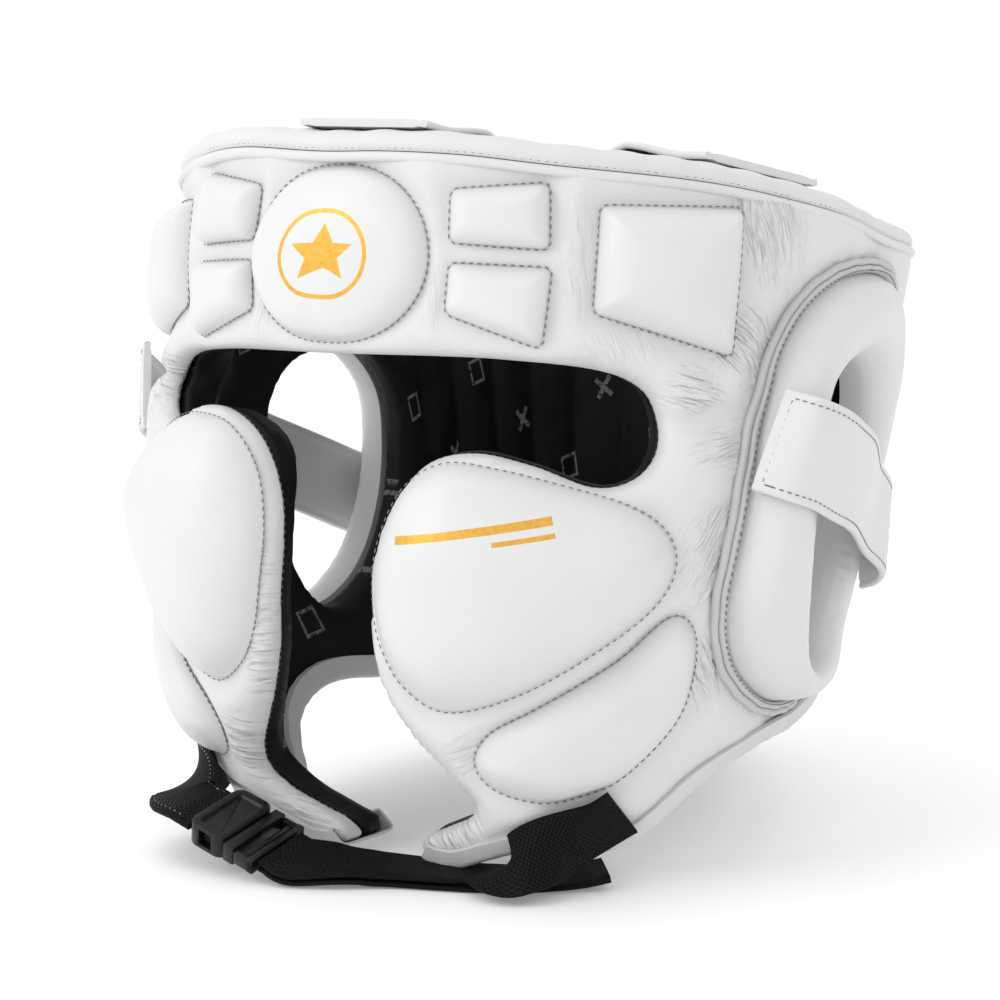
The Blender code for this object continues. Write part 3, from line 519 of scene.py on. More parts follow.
class Finish:
    """The node material of one finish."""

    def __init__(self, name, roughness=0.5, **constants):
        self.material = bpy.data.materials.new(name)
        self.material.use_nodes = True
        self.tree = self.material.node_tree
        self.shader = self.tree.nodes["Principled BSDF"]
        self.shader.inputs["Roughness"].default_value = roughness
        for key, value in constants.items():
            self.shader.inputs[key.replace("_", " ")].default_value = value

    def feed(self, socket, value):
        if isinstance(value, Value):
            self.tree.links.new(value.socket, socket)
        else:
            if socket.type == "RGBA" and len(value) == 3:
                value = (*value, 1.0)
            socket.default_value = value

    def node(self, kind, settings=None, inputs=None, output=0):
        made = self.tree.nodes.new(kind)
        for key, value in (settings or {}).items():
            setattr(made, key, value)
        for key, value in (inputs or {}).items():
            self.feed(made.inputs[key], value)
        return Value(self, made.outputs[output])

    def maths(self, operation, *values):
        return self.node("ShaderNodeMath", {"operation": operation}, dict(enumerate(values)))

    def place(self):
        return self.node("ShaderNodeTexCoord", output="Object")

    def uv(self):
        return self.node("ShaderNodeTexCoord", output="UV")

    def attribute(self, name):
        return self.node("ShaderNodeAttribute", {"attribute_name": name}, output="Vector")

    def split(self, vector):
        made = self.tree.nodes.new("ShaderNodeSeparateXYZ")
        self.feed(made.inputs[0], vector)
        return [Value(self, socket) for socket in made.outputs]

    def join(self, x=0.0, y=0.0, z=0.0):
        return self.node("ShaderNodeCombineXYZ", inputs={"X": x, "Y": y, "Z": z})

    def noise(self, vector, scale, detail=2.0, rough=0.5):
        inputs = {"Vector": vector, "Scale": scale, "Detail": detail, "Roughness": rough}
        return self.node("ShaderNodeTexNoise", inputs=inputs, output="Fac")

    def cells(self, vector, scale):
        return self.node("ShaderNodeTexVoronoi", inputs={"Vector": vector, "Scale": scale}, output="Distance")

    def step(self, value, low, high):
        """0 below low, 1 above high, smooth between."""
        inputs = {"Value": value, "From Min": low, "From Max": high}
        return self.node("ShaderNodeMapRange", {"interpolation_type": "SMOOTHSTEP"}, inputs)

    def mix(self, factor, one, two):
        made = self.tree.nodes.new("ShaderNodeMix")
        made.data_type = "RGBA"
        for key, value in (("Factor_Float", factor), ("A_Color", one), ("B_Color", two)):
            socket = next(s for s in made.inputs if s.identifier == key)
            self.feed(socket, value)
        return Value(self, next(s for s in made.outputs if s.identifier == "Result_Color"))

    def colour(self, value):
        self.feed(self.shader.inputs["Base Color"], value)

    def roughness(self, value):
        self.feed(self.shader.inputs["Roughness"], value)

    def bump(self, height, distance):
        normal = self.node("ShaderNodeBump", inputs={"Height": height, "Distance": distance})
        self.feed(self.shader.inputs["Normal"], normal)


# Mesh helpers


def coords(bm):
    return np.array([vert.co for vert in bm.verts]).reshape(-1, 3)


def place_verts(bm, points):
    for vert, point in zip(bm.verts, points):
        vert.co = point


def finished(name, bm, material, nodes=(), angle=40):
    """Turn a bmesh into a named piece that rides on the root body."""
    bmesh.ops.remove_doubles(bm, verts=bm.verts, dist=MERGE)
    bmesh.ops.recalc_face_normals(bm, faces=bm.faces)
    mesh = bpy.data.meshes.new(name)
    bm.to_mesh(mesh)
    bm.free()
    mesh.shade_smooth()
    mesh.set_sharp_from_angle(angle=math.radians(angle))
    mesh.materials.append(material)
    piece = bpy.data.objects.new(name, mesh)
    bpy.context.scene.collection.objects.link(piece)
    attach(piece, "root")
    if nodes:
        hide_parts(*nodes)
    return piece


def warped(around, across, spot, size=(1.0, 1.0)):
    """A grid whose spots (u, v) from 0 to 1 are put in place, with UVs of a real size."""
    bm = bmesh.new()
    layer = bm.loops.layers.uv.new("UVMap")
    bmesh.ops.create_grid(bm, x_segments=around, y_segments=across, size=0.5)
    for face in bm.faces:
        for loop in face.loops:
            loop[layer].uv = ((loop.vert.co.x + 0.5) * size[0], (loop.vert.co.y + 0.5) * size[1])
    spots = coords(bm) + 0.5
    place_verts(bm, spot(spots[:, 0], spots[:, 1]))
    return bm


def closed_ends(bm):
    """Weld a tube's seam and cap its open ends."""
    bmesh.ops.remove_doubles(bm, verts=bm.verts, dist=MERGE)
    bmesh.ops.holes_fill(bm, edges=[e for e in bm.edges if e.is_boundary], sides=0)
    return bm


# Finishes


def leather(name, colour, gloss=0.36, creased=False, grain=1.0, mark=None):
    """Smooth leather with a fine grain, and creases where the piece has them, with painted shade along the
    crease bottoms.
    """
    finish = Finish(name, IOR=1.45)
    place = finish.place()
    blotch = finish.noise(place, 22, 3)
    fine = finish.noise(place, 950, 3, 0.6)
    pores = finish.cells(place, 1500)
    ripple = finish.noise(place, 230, 3, 0.55)
    height = grain * (fine * 0.35 + pores * 0.25 + ripple * 0.5)
    shade = tuple(c * 0.955 for c in colour)
    base = finish.mix(finish.step(blotch, 0.3, 0.75), shade, colour)
    if creased:
        across, down, strength = finish.split(finish.attribute("creases"))
        lines = finish.join(across * 420, down * 75, 0.0)
        wide = finish.join(across * 190, down * 42, 3.0)
        fold = finish.maths("ABSOLUTE", finish.noise(lines, 1.0, 2) - 0.5) * 2
        swell = finish.maths("ABSOLUTE", finish.noise(wide, 1.0, 1) - 0.5) * 2
        lift = finish.step(fold, 0.0, 0.30) + finish.step(swell, 0.0, 0.35) * 1.6
        power = finish.step(strength, 0.05, 0.9)
        height = height + lift * power * 2.4
        # Painted shade: the colour is darkened toward 62 per cent of the leather along the bottom of each
        # crease, where the bump dips.
        crease_shade = power * (1 - finish.step(fold, 0.0, 0.12)) * 0.30
        base = finish.mix(crease_shade, base, tuple(c * 0.62 for c in colour))
    if mark:
        mask = mark(finish)
        gold = finish.mix(finish.noise(place, 700, 2), (0.62, 0.30, 0.035), (0.86, 0.50, 0.10))
        base = finish.mix(mask, base, gold)
        finish.feed(finish.shader.inputs["Metallic"], mask * 0.55)
    finish.colour(base)
    finish.roughness(gloss + 0.10 * blotch + 0.08 * fine)
    finish.bump(height, 0.00022)
    return finish.material


def star_mark(finish):
    """A plain five-pointed star in a ring, round the middle of the pad's own flat map."""
    x, y, _ = finish.split(finish.uv())
    turn = finish.maths("ARCTAN2", x, y)
    out = finish.maths("SQRT", x * x + y * y)
    sector = 2 * math.pi / 5
    fold = finish.maths("ABSOLUTE", finish.maths("WRAP", turn, sector / 2, -sector / 2))
    px = out * finish.maths("COSINE", fold)
    py = out * finish.maths("SINE", fold)
    tip, dip, circle = 0.0090, 0.0040, 0.0125
    dx, dy = dip * math.cos(sector / 2) - tip, dip * math.sin(sector / 2)
    size = math.hypot(dx, dy)
    side = (px - tip) * (dy / size) - py * (dx / size)
    star = 1 - finish.step(side, -0.0001, 0.0001)
    ring = 1 - finish.step(finish.maths("ABSOLUTE", out - circle), 0.00055, 0.00075)
    return finish.maths("MAXIMUM", star, ring)


def bar_mark(finish):
    """Two plain bars of unlike length on the pad's flat map."""
    x, y, _ = finish.split(finish.uv())
    cos, sin = 0.985, 0.174
    along_bar = x * cos + y * sin
    over_bar = y * cos - x * sin

    def bar(middle, half, level, thick):
        """Half-length and half-thickness round a middle, at a level."""
        far = 1 - finish.step(finish.maths("ABSOLUTE", along_bar - middle), half, half + 0.0002)
        high = 1 - finish.step(finish.maths("ABSOLUTE", over_bar - level), thick, thick + 0.0002)
        return far * high

    long_bar = bar(-0.004, 0.0200, 0.0180, 0.0011)
    short_bar = bar(0.0085, 0.0075, 0.0140, 0.0006)
    return finish.maths("MAXIMUM", long_bar, short_bar)


def lining_finish():
    """Black coated cloth with small plain crosses and diamonds."""
    finish = Finish("black_lining", Specular_IOR_Level=0.22)
    place = finish.place()
    x, y, _ = finish.split(finish.attribute("sheet"))
    pitch, cos, sin = 0.036, 0.85, 0.53
    u, v = (x * cos + y * sin) / pitch, (y * cos - x * sin) / pitch
    cx, cy = finish.maths("FLOOR", u), finish.maths("FLOOR", v)
    odd = finish.maths("ABSOLUTE", finish.maths("FLOORED_MODULO", cx + cy, 2.0))
    fx = finish.maths("ABSOLUTE", u - cx - 0.5) * pitch
    fy = finish.maths("ABSOLUTE", v - cy - 0.5) * pitch
    diamond = finish.maths("ABSOLUTE", fx + fy - 0.0058)
    diamond = 1 - finish.step(diamond, 0.0007, 0.0010)
    arms = finish.maths("MINIMUM", fx, fy)
    out = finish.maths("MAXIMUM", fx, fy)
    cross = (1 - finish.step(arms, 0.0009, 0.0012)) * (1 - finish.step(out, 0.0052, 0.0055))
    mark = cross * odd + diamond * (1 - odd)
    worn = finish.step(finish.noise(place, 900, 2), 0.32, 0.5)
    weave = finish.maths("SINE", x * 5200) * finish.maths("SINE", y * 5200)
    blotch = finish.noise(place, 40, 3)
    base = finish.mix(blotch, (0.002, 0.002, 0.002), (0.006, 0.006, 0.006))
    finish.colour(finish.mix(mark * worn * 0.8, base, (0.24, 0.24, 0.245)))
    finish.roughness(0.46 + 0.16 * blotch)
    finish.bump(weave * 0.16 + finish.noise(place, 260, 2) * 0.9, 0.00016)
    return finish.material


def webbing_finish(name="black_webbing"):
    """Coarse black webbing: raised bars across, parted by the warp."""
    finish = Finish(name, Specular_IOR_Level=0.12)
    u, v, _ = finish.split(finish.uv())
    rib = 2 * math.pi / 0.0014
    end = 2 * math.pi / 0.0016
    row = finish.maths("SINE", u * rib)
    shifted = finish.maths("SINE", u * rib + math.pi)
    column = finish.step(finish.maths("SINE", v * end), -0.25, 0.25)
    weave = row * column + shifted * (1 - column)
    fibre = finish.noise(finish.join(u * 900, v * 4200), 1.0, 2)
    height = finish.step(weave, -0.9, 0.7)
    # Painted shade: the colour is darker in the hollows of the weave and lighter on the raised bars, while
    # the fibre noise gives the yarn's own tone.
    finish.colour(finish.mix(height * (0.4 + fibre * 0.6), (0.001, 0.001, 0.001), (0.014, 0.014, 0.014)))
    finish.roughness(0.50 + 0.25 * fibre)
    finish.bump(height + fibre * 0.3, 0.00045)
    return finish.material


def plastic_finish():
    finish = Finish("black_plastic", Specular_IOR_Level=0.32)
    place = finish.place()
    grain = finish.noise(place, 2400, 2)
    rub = finish.noise(place, 130, 3)
    finish.colour(finish.mix(rub, (0.002, 0.002, 0.002), (0.008, 0.008, 0.008)))
    finish.roughness(0.20 + 0.16 * rub)
    finish.bump(grain, 0.00006)
    return finish.material


def thread_finish(name, colour):
    finish = Finish(name)
    twist = finish.noise(finish.place(), 2600, 2)
    finish.colour(finish.mix(twist, tuple(c * 0.55 for c in colour), colour))
    finish.roughness(0.55 + 0.2 * twist)
    finish.bump(twist, 0.00008)
    return finish.material


# Pieces


def wall_sheet(recess, hole, pitch):
    """One padded wall laid flat, both halves: z is 0 on its outer face and 1 on its inner."""
    face = face_edge()
    share = face[:, 1] / SHELL_HEIGHT
    face[:, 0] += recess * ramp(share, 0.56, 0.46) * ramp(share, 0.05, 0.15)
    bottom = bottom_edge()
    bearings = np.linspace(180, 0, 181)
    top = np.stack((bearings * DEGREE, rim_height(bearings) - ROLL_HEIGHT - FIT_GAP), -1)
    outline = np.vstack((face, bottom[1:], top))
    edge = evenly(np.vstack((face, bottom[1:])), EDGE_STEP)
    hole = evenly(hole, EDGE_STEP, True)
    front = [(0, y) for y in np.arange(face[0, 1], top[-1, 1], EDGE_STEP)]
    back = [(HALF_GIRTH, y) for y in np.arange(bottom[-1, 1], top[0, 1], EDGE_STEP)]
    border = np.vstack((edge, hole, evenly(top, EDGE_STEP), front, back))
    bm = bmesh.new()
    across, up = round(HALF_GIRTH / pitch), round(SHELL_HEIGHT / pitch)
    bmesh.ops.create_grid(bm, x_segments=across, y_segments=up, size=0.5)
    place_verts(bm, (coords(bm) + (0.5, 0.5, 0.0)) * (HALF_GIRTH, SHELL_HEIGHT, 1.0))
    middles = np.array([f.calc_center_median()[:2] for f in bm.faces])
    keep = inside(middles, outline) & ~inside(middles, hole)
    bmesh.ops.delete(bm, geom=[f for f, kept in zip(bm.faces, keep) if not kept], context="FACES")
    rim = [v for v in bm.verts if v.is_boundary]
    _, ends = nearest(np.array([v.co[:2] for v in rim]), border)
    for vert, end in zip(rim, ends):
        vert.co = (*end, 0.0)
    flat_spots = coords(bm)[:, :2]
    gap, foot = nearest(flat_spots, np.vstack((edge, hole)))
    share = np.clip(gap / EDGE_SOFT, 1e-4, 1.0)
    pulled = foot + (flat_spots - foot) * np.where(share < 1, share**EDGE_CROWDING, 1.0)[:, None]
    seam = (np.abs(flat_spots[:, 0]) < 1e-7) | (np.abs(flat_spots[:, 0] - HALF_GIRTH) < 1e-7)
    pulled[seam] = flat_spots[seam]
    place_verts(bm, np.hstack((pulled, np.zeros((len(pulled), 1)))))
    for vert in bm.verts:
        if vert.co.x < MERGE:
            vert.co.x = 0.0
    bmesh.ops.mirror(bm, geom=bm.verts[:] + bm.edges[:] + bm.faces[:], axis="X", merge_dist=MERGE)
    grown = bmesh.ops.extrude_face_region(bm, geom=bm.faces[:], use_keep_orig=True)
    for item in grown["geom"]:
        if isinstance(item, bmesh.types.BMVert):
            item.co.z = 1.0
    upright = [e for e in bm.edges if abs(e.verts[0].co.z - e.verts[1].co.z) > 0.5]
    bmesh.ops.subdivide_edges(bm, edges=upright, cuts=WALL_LAYERS, use_grid_fill=True)
    return bm, edge, hole


def lip(gap, radius):
    """How far a rounded edge falls back at a distance from its end."""
    share = np.clip(gap / np.maximum(radius, 1e-6), 0.0, 1.0)
    return radius * (1 - np.sqrt(np.clip(1 - (1 - share)**2, 0.0, 1.0)))


def seam_chain():
    """Flat points of every seam that pulls the leather down."""
    chains = [medallion_outline()]
    for side in (1, -1):
        chains += [moved(outline, 0.0006) for _, outline, _ in pad_outlines(side)]
        chains.append(moved(ear_seam(side), WELT_WIDTH))
        chains.append(flat(TEMPLE_FOLD, side))
    return chains


class HEADGEAR_OT_shell(bpy.types.Operator):
    """White leather wall, with its rounded edges, seams and creases"""
    bl_idname = "headgear.shell"
    bl_label = "Leather shell"

    def execute(self, context):
        sizes = context.scene.headgear_sizes
        bm, edge, _ = wall_sheet(0.0, ear_seam(), SHELL_PITCH)
        spots = coords(bm)
        layer, spots = spots[:, 2], spots[:, :2]
        gap, foot = nearest(np.abs(spots), edge)
        at_face = ramp(foot[:, 1] / SHELL_HEIGHT, 0.03, 0.08) * (foot[:, 0] < 43 * DEGREE)
        outer = lip(gap, OUTER_LIP + FACE_LIP * at_face)
        inner = lip(gap, INNER_LIP)
        chains = seam_chain()
        groove, _ = nearest(spots, np.vstack([evenly(c, 0.0008, True) for c in chains]))
        dent = sizes.seam_depth * np.exp(-(groove / GROOVE_WIDTH)**2)
        swell = SWELL * ramp(groove, 0.0005, SWELL_SPAN) * ramp(gap, 0.002, 0.010)
        creases = crease_field(spots)
        across = rumple(creases[:, :2] * (1.0, 0.30), FOLD_SPACING, 2.0)
        folds = FOLD_HEIGHT * np.abs(across) * creases[:, 2]
        outlines = [medallion_outline()]
        outlines += [outline for side in (1, -1) for _, outline, _ in pad_outlines(side)]
        under = np.any([inside(spots, outline) for outline in outlines], axis=0)
        loose = (folds + waves(spots, SHELL_WAVES)) * ramp(gap, 0.0, 0.006)
        face_off = -outer - dent + swell + loose
        face_off = np.where(under, np.minimum(face_off, UNDER_PADS), face_off)
        back_off = -SHELL_WALL + inner
        off = face_off + (back_off - face_off) * layer
        store = bm.verts.layers.float_vector.new("creases")
        for vert, row in zip(bm.verts, creases):
            vert[store] = row
        place_verts(bm, on_leather(spots, off))
        finish = leather("creased_leather", tuple(context.scene.headgear_colours.leather), creased=True)
        finished("shell_leather", bm, finish, ["outer_shell"], 60)
        return {"FINISHED"}


class HEADGEAR_OT_lining(bpy.types.Operator):
    """Black quilted lining"""
    bl_idname = "headgear.lining"
    bl_label = "Quilted lining"

    def execute(self, context):
        bm, edge, hole = wall_sheet(LINING_RECESS, ear_hole(), LINING_PITCH)
        spots = coords(bm)
        layer, spots = spots[:, 2], spots[:, :2]
        near_half = np.abs(spots)
        gap, _ = nearest(near_half, np.vstack((edge, hole)))
        channel = np.abs(np.sin(math.pi * spots[:, 0] / CHANNEL_PITCH))**CHANNEL_FULLNESS
        bearing = near_half[:, 0] / DEGREE
        height = near_half[:, 1] / SHELL_HEIGHT
        quilted = ramp(bearing, 100, 116) * ramp(height, 0.06, 0.16) * ramp(height, 0.80, 0.72)
        groove = CHANNEL_DEPTH * (1 - channel) * quilted
        face_off = -SHELL_WALL - LINING_GAP - lip(gap, LINING_OUTER_LIP)
        back_off = -SHELL_WALL - LINING_GAP - LINING_WALL + lip(gap, LINING_INNER_LIP)
        back_off = back_off + groove + (waves(spots, LINING_WAVES) + 0.0006) * ramp(gap, 0.0, 0.006)
        off = face_off + (back_off - face_off) * layer
        store = bm.verts.layers.float_vector.new("sheet")
        for vert, (x, y) in zip(bm.verts, spots):
            vert[store] = (x, y, 0.0)
        place_verts(bm, on_leather(spots, off))
        finished("lining_quilt", bm, lining_finish(), ["lining"], 60)
        return {"FINISHED"}


def rim_section(name, off_of, rise_of, around, across, material, node):
    """A closed band that follows the rim."""
    def spot(u, v):
        bearing = -180 + 360 * u
        base = rim_height(bearing) - ROLL_HEIGHT
        points = ring_place(bearing, base, off_of(u, v))
        points[:, 2] = base + rise_of(u, v)
        return settle(points)

    bm = warped(around, across, spot, (2 * HALF_GIRTH, 0.03))
    finished(name, bm, material, [node])


class HEADGEAR_OT_rim(bpy.types.Operator):
    """Soft roll on the upper edge and the cord in the seam under it"""
    bl_idname = "headgear.rim"
    bl_label = "Rim roll and piping"

    def execute(self, context):
        wall = SHELL_WALL + LINING_WALL + FIT_GAP
        section = ((0.0, 0.0, 0.02), (0.10, -0.03, 0.40), (0.17, 0.03, 0.74), (0.24, 0.14, 0.95),
                   (0.34, 0.32, 1.05), (0.50, 0.52, 1.08), (0.64, 0.74, 1.03), (0.72, 0.88, 0.92),
                   (0.80, 0.98, 0.66), (0.86, 1.02, 0.34), (0.90, 1.0, 0.0), (0.95, 0.5, 0.0),
                   (1.0, 0.0, 0.02))
        stops, inward, up = columns(section, 1, 1, 1)

        def ripple(u, v):
            """Small gathers along the roll, none where it meets the walls."""
            wave = np.sin(u * 2 * math.pi * 47 + 2 * np.sin(u * 40))
            return 0.00022 * wave * np.sin(math.pi * np.clip(v / 0.9, 0, 1))

        def off_of(u, v):
            share = hermite(stops, inward, v)
            return ROLL_PROUD * (1 - 2 * share) - share * wall + ripple(u, v)

        def rise_of(u, v):
            return hermite(stops, up, v) * ROLL_HEIGHT + ripple(u, v)

        colour = tuple(context.scene.headgear_colours.leather)
        rim_section("rim_roll_leather", off_of, rise_of, 420, 44, leather("roll_leather", colour, 0.40),
                    "rim_roll")

        def cord_off(u, v):
            return PIPING_RADIUS * (1 + np.cos(2 * math.pi * v)) + SEAT_GAP - 0.0005

        def cord_rise(u, v):
            return -PIPING_RADIUS * (1 - np.sin(2 * math.pi * v)) - 0.0001

        rim_section("rim_piping_cord", cord_off, cord_rise, 360, 12, leather("piping_leather", colour, 0.42),
                    "rim_piping")
        return {"FINISHED"}


def hem_spots(side):
    """Points of the lower edge behind the chin tip, and the way up from each in the leather."""
    edge = evenly(bottom_edge(side)[60:], HEM_STEP)
    run = unit(np.gradient(edge, axis=0))
    for _ in range(12):
        run[1:-1] = unit(run[:-2] + 2 * run[1:-1] + run[2:])
    up = np.stack((-run[:, 1], run[:, 0]), -1) * side
    return edge, up


class HEADGEAR_OT_hem(bpy.types.Operator):
    """Folded binding round the lower edge, over both walls"""
    bl_idname = "headgear.hem"
    bl_label = "Hem binding"

    def execute(self, context):
        near, near_up = hem_spots(1)
        far, far_up = hem_spots(-1)
        edge = np.vstack((near, far[-2::-1]))
        up = np.vstack((near_up, far_up[-2::-1]))
        wall = SHELL_WALL + LINING_GAP + LINING_WALL
        section = ((0.0, 0.0006, 1.0), (0.05, 0.0016, 1.0), (0.30, 0.0018, 0.1), (0.36, 0.0014, -0.10),
                   (0.42, -0.0002, -0.20), (0.60, -wall + 0.0002, -0.20), (0.66, -wall - 0.0010, -0.05),
                   (0.72, -wall - 0.0012, 0.2), (0.97, -wall - 0.0010, 1.35), (1.0, -wall + 0.0004, 1.35))
        stops, offs, rises = columns(section, 1, 1, 1)
        stations = np.linspace(0, 1, len(edge))
        floor_gap = 0.0008

        def spot(u, v):
            middle = np.stack([np.interp(u, stations, edge[:, k]) for k in range(2)], -1)
            lift = unit(np.stack([np.interp(u, stations, up[:, k]) for k in range(2)], -1))
            wave = 0.00012 * np.sin(u * 2 * math.pi * 90 + 3 * np.sin(u * 60))
            rise = np.interp(v, stops, rises) * HEM_WIDTH + wave * (v < 0.1)
            points = on_leather(middle + lift * rise[:, None], np.interp(v, stops, offs) + wave)
            points[:, 2] = np.maximum(points[:, 2], floor_gap)
            return points

        bm = warped(len(edge) - 1, 34, spot, (0.9, 0.03))
        bmesh.ops.remove_doubles(bm, verts=bm.verts, dist=MERGE)
        bmesh.ops.solidify(bm, geom=bm.faces[:], thickness=0.0006)
        finish = leather("binding_leather", tuple(context.scene.headgear_colours.binding), 0.48)
        finished("hem_binding_leather", bm, finish, ["hem_binding"])
        return {"FINISHED"}


def rim_share(v):
    """Share of the way from a pad's middle to its rim, out below the pad and back over it."""
    over = np.clip((v - PAD_UNDER) / (1 - PAD_UNDER), 0, 1)
    return np.where(v < PAD_UNDER, v / PAD_UNDER, 1 - over**PAD_CROWDING)


def pad_piece(name, outline, crown_size, material, sizes):
    """A crowned pad over its outline, gathered a little at each stitch."""
    puff, shoulder = crown_size
    depth = sizes.seam_depth
    girth = lengths_of(outline, True)[0][-1]
    around = round(girth / PAD_PITCH)
    middle = outline.mean(0)
    count = round(girth / sizes.stitch_pitch)

    def spot(u, v):
        share = rim_share(v)
        rim = along(outline, u % 1.0, True)
        gather = GATHER * np.cos(2 * math.pi * count * u) * np.exp(-((1 - share) / 0.035)**2)
        pull = 1 - 0.004 * (1 + np.cos(2 * math.pi * count * u)) * np.exp(-((1 - share) / 0.03)**2)
        spots = middle + (rim - middle) * (share * pull)[:, None]
        gap, _ = nearest(spots, outline)
        gap = np.clip(gap / shoulder, 0, 1)
        edge = (1 - (1 - gap)**SHOULDER_FULLNESS)**0.92
        crown = puff * (SHOULDER_SHARE * edge + (1 - SHOULDER_SHARE) * (1 - share**2)) * (1 - share**40)
        rough = rumple(spots, 0.016, 7.0) * 0.00030 * (1 - share**6)
        off = np.where(v < PAD_UNDER, -depth, -depth * share**30 + crown + gather + rough)
        return on_leather(spots, off + SEAT_GAP)

    bm = warped(around, PAD_ROWS, spot)
    uv = bm.loops.layers.uv.verify()
    loops = [loop for face in bm.faces for loop in face.loops]
    u, v = np.array([loop[uv].uv for loop in loops]).T
    spots = (along(outline, u % 1.0, True) - middle) * rim_share(v)[:, None]
    spots[v < PAD_UNDER] += 1.0
    for loop, flat_spot in zip(loops, spots):
        loop[uv].uv = flat_spot
    finished(name + "_leather", bm, material, [name], 60)


class HEADGEAR_OT_pads(bpy.types.Operator):
    """Medallion, brow, temple, cheek and jaw pads"""
    bl_idname = "headgear.pads"
    bl_label = "Pads"

    def execute(self, context):
        sizes = context.scene.headgear_sizes
        colour = tuple(context.scene.headgear_colours.pads)
        plain = leather("pad_leather", colour, 0.33, grain=0.55)
        starred = leather("medallion_leather", colour, 0.33, grain=0.55, mark=star_mark)
        barred = leather("cheek_leather", colour, 0.33, grain=0.55, mark=bar_mark)
        pad_piece("medallion", medallion_outline(), (0.0065, 0.010), starred, sizes)
        for side in (1, -1):
            for name, outline, crown_size in pad_outlines(side):
                material = barred if name == "cheek_pad_near" else plain
                pad_piece(name, outline, crown_size, material, sizes)
        return {"FINISHED"}


def ear_puff(bearing, side, thinning):
    """Height of the ear ring, pressed thinner at the front of the far one."""
    pressed = thinning * (1 - ramp(bearing, 62, 88)) if side < 0 else 0.0
    return EAR_PUFF * (1 - pressed)


def ring_off(bearing, share, side):
    """Rise of the ear ring at a bearing and a share of the way from its seam to its hole."""
    stops, heights = columns(EAR_SECTION, 1, 1)
    puff = ear_puff(bearing, side, FAR_FLATTENING) * (1 - 0.3 * ramp(bearing, 78, 102))
    return puff * hermite(stops, heights, share)


class HEADGEAR_OT_ears(bpy.types.Operator):
    """Padded ear rings with the folded welts in their seams"""
    bl_idname = "headgear.ears"
    bl_label = "Ear rings and welts"

    def execute(self, context):
        colours = context.scene.headgear_colours
        ring_leather = leather("ring_leather", tuple(colours.leather), 0.36, grain=0.7)
        welt_leather = leather("welt_leather", tuple(colours.welt), 0.5, grain=1.4)
        for side, word in ((1, "near"), (-1, "far")):
            seam, hole = moved(ear_seam(side), -0.0002), ear_hole(side)

            def ring_spot(u, v):
                share = np.clip((v - RING_FOOT) / (1 - 2 * RING_FOOT), 0.0, 1.0)
                share = np.where(v > 1 - RING_FOOT, (1 - v) / RING_FOOT, share)
                outer, inner = along(seam, u % 1.0, True), along(hole, u % 1.0, True)
                spots = outer + (inner - outer) * share[:, None]
                turn = 2 * math.pi * u
                rise = ring_off(np.abs(spots[:, 0]) / DEGREE, share, side)
                gather = np.cos(RING_GATHERS * turn) * np.exp(-((share - 0.03) / 0.04)**2)
                pucker = np.abs(np.sin(RING_PUCKERS * turn + 2 * np.sin(4.5 * turn)))
                pucker = pucker * ramp(share, 0.62, 0.92) * ramp(v, 0.94, 0.90)
                rough = 0.0005 * rumple(spots, 0.02, 3.0) * np.sin(math.pi * share)
                top = rise + RING_GATHER * gather - RING_PUCKER * pucker + rough
                off = np.where(v > 1 - RING_FOOT, RING_FLOOR, top)
                foot = RING_FLOOR + (0.0003 - RING_FLOOR) * v / RING_FOOT
                return on_leather(spots, np.where(v < RING_FOOT, foot, off))

            bm = warped(460, 52, ring_spot, (0.42, 0.06))
            name = "ear_ring_" + word
            finished(name + "_leather", bm, ring_leather, [name], 60)

            profile = ((0.0, 0.0, 0.0), (0.06, 0.0, 0.75), (0.16, 0.09, 1.05), (0.34, 0.30, 1.18),
                       (0.48, 0.44, 0.92), (0.54, 0.50, 0.42), (0.60, 0.56, 0.86), (0.76, 0.80, 1.0),
                       (0.86, 0.97, 0.6), (0.92, 1.0, 0.0), (1.0, 0.0, 0.0))
            stops, shares, rises = columns(profile, 1, 1, 1)

            def welt_spot(u, v):
                start = along(moved(seam, 0.0002), u % 1.0, True)
                end = along(moved(seam, WELT_WIDTH), u % 1.0, True)
                over = np.interp(v, stops, shares)
                wave = WELT_WAVE * np.sin(2 * math.pi * 31 * u + 2 * np.sin(17 * u)) * (over > 0.3)
                spots = start + (end - start) * (over + wave * 0.6)[:, None]
                rise = np.interp(v, stops, rises) * (1 + wave)
                return on_leather(spots, BAND_GAP - WELT_DROP + WELT_HEIGHT * rise)

            bm = warped(420, 26, welt_spot, (0.42, 0.012))
            name = "ear_welt_" + word
            finished(name + "_leather", bm, welt_leather, [name], 60)
        return {"FINISHED"}


def strap_frames(middles, faces, width, thickness):
    """Half-width and rise vectors along a strap."""
    run = np.gradient(middles, axis=0)
    half = unit(np.cross(run, faces)) * width / 2
    rise = unit(np.cross(half, run)) * thickness / 2
    return half, rise


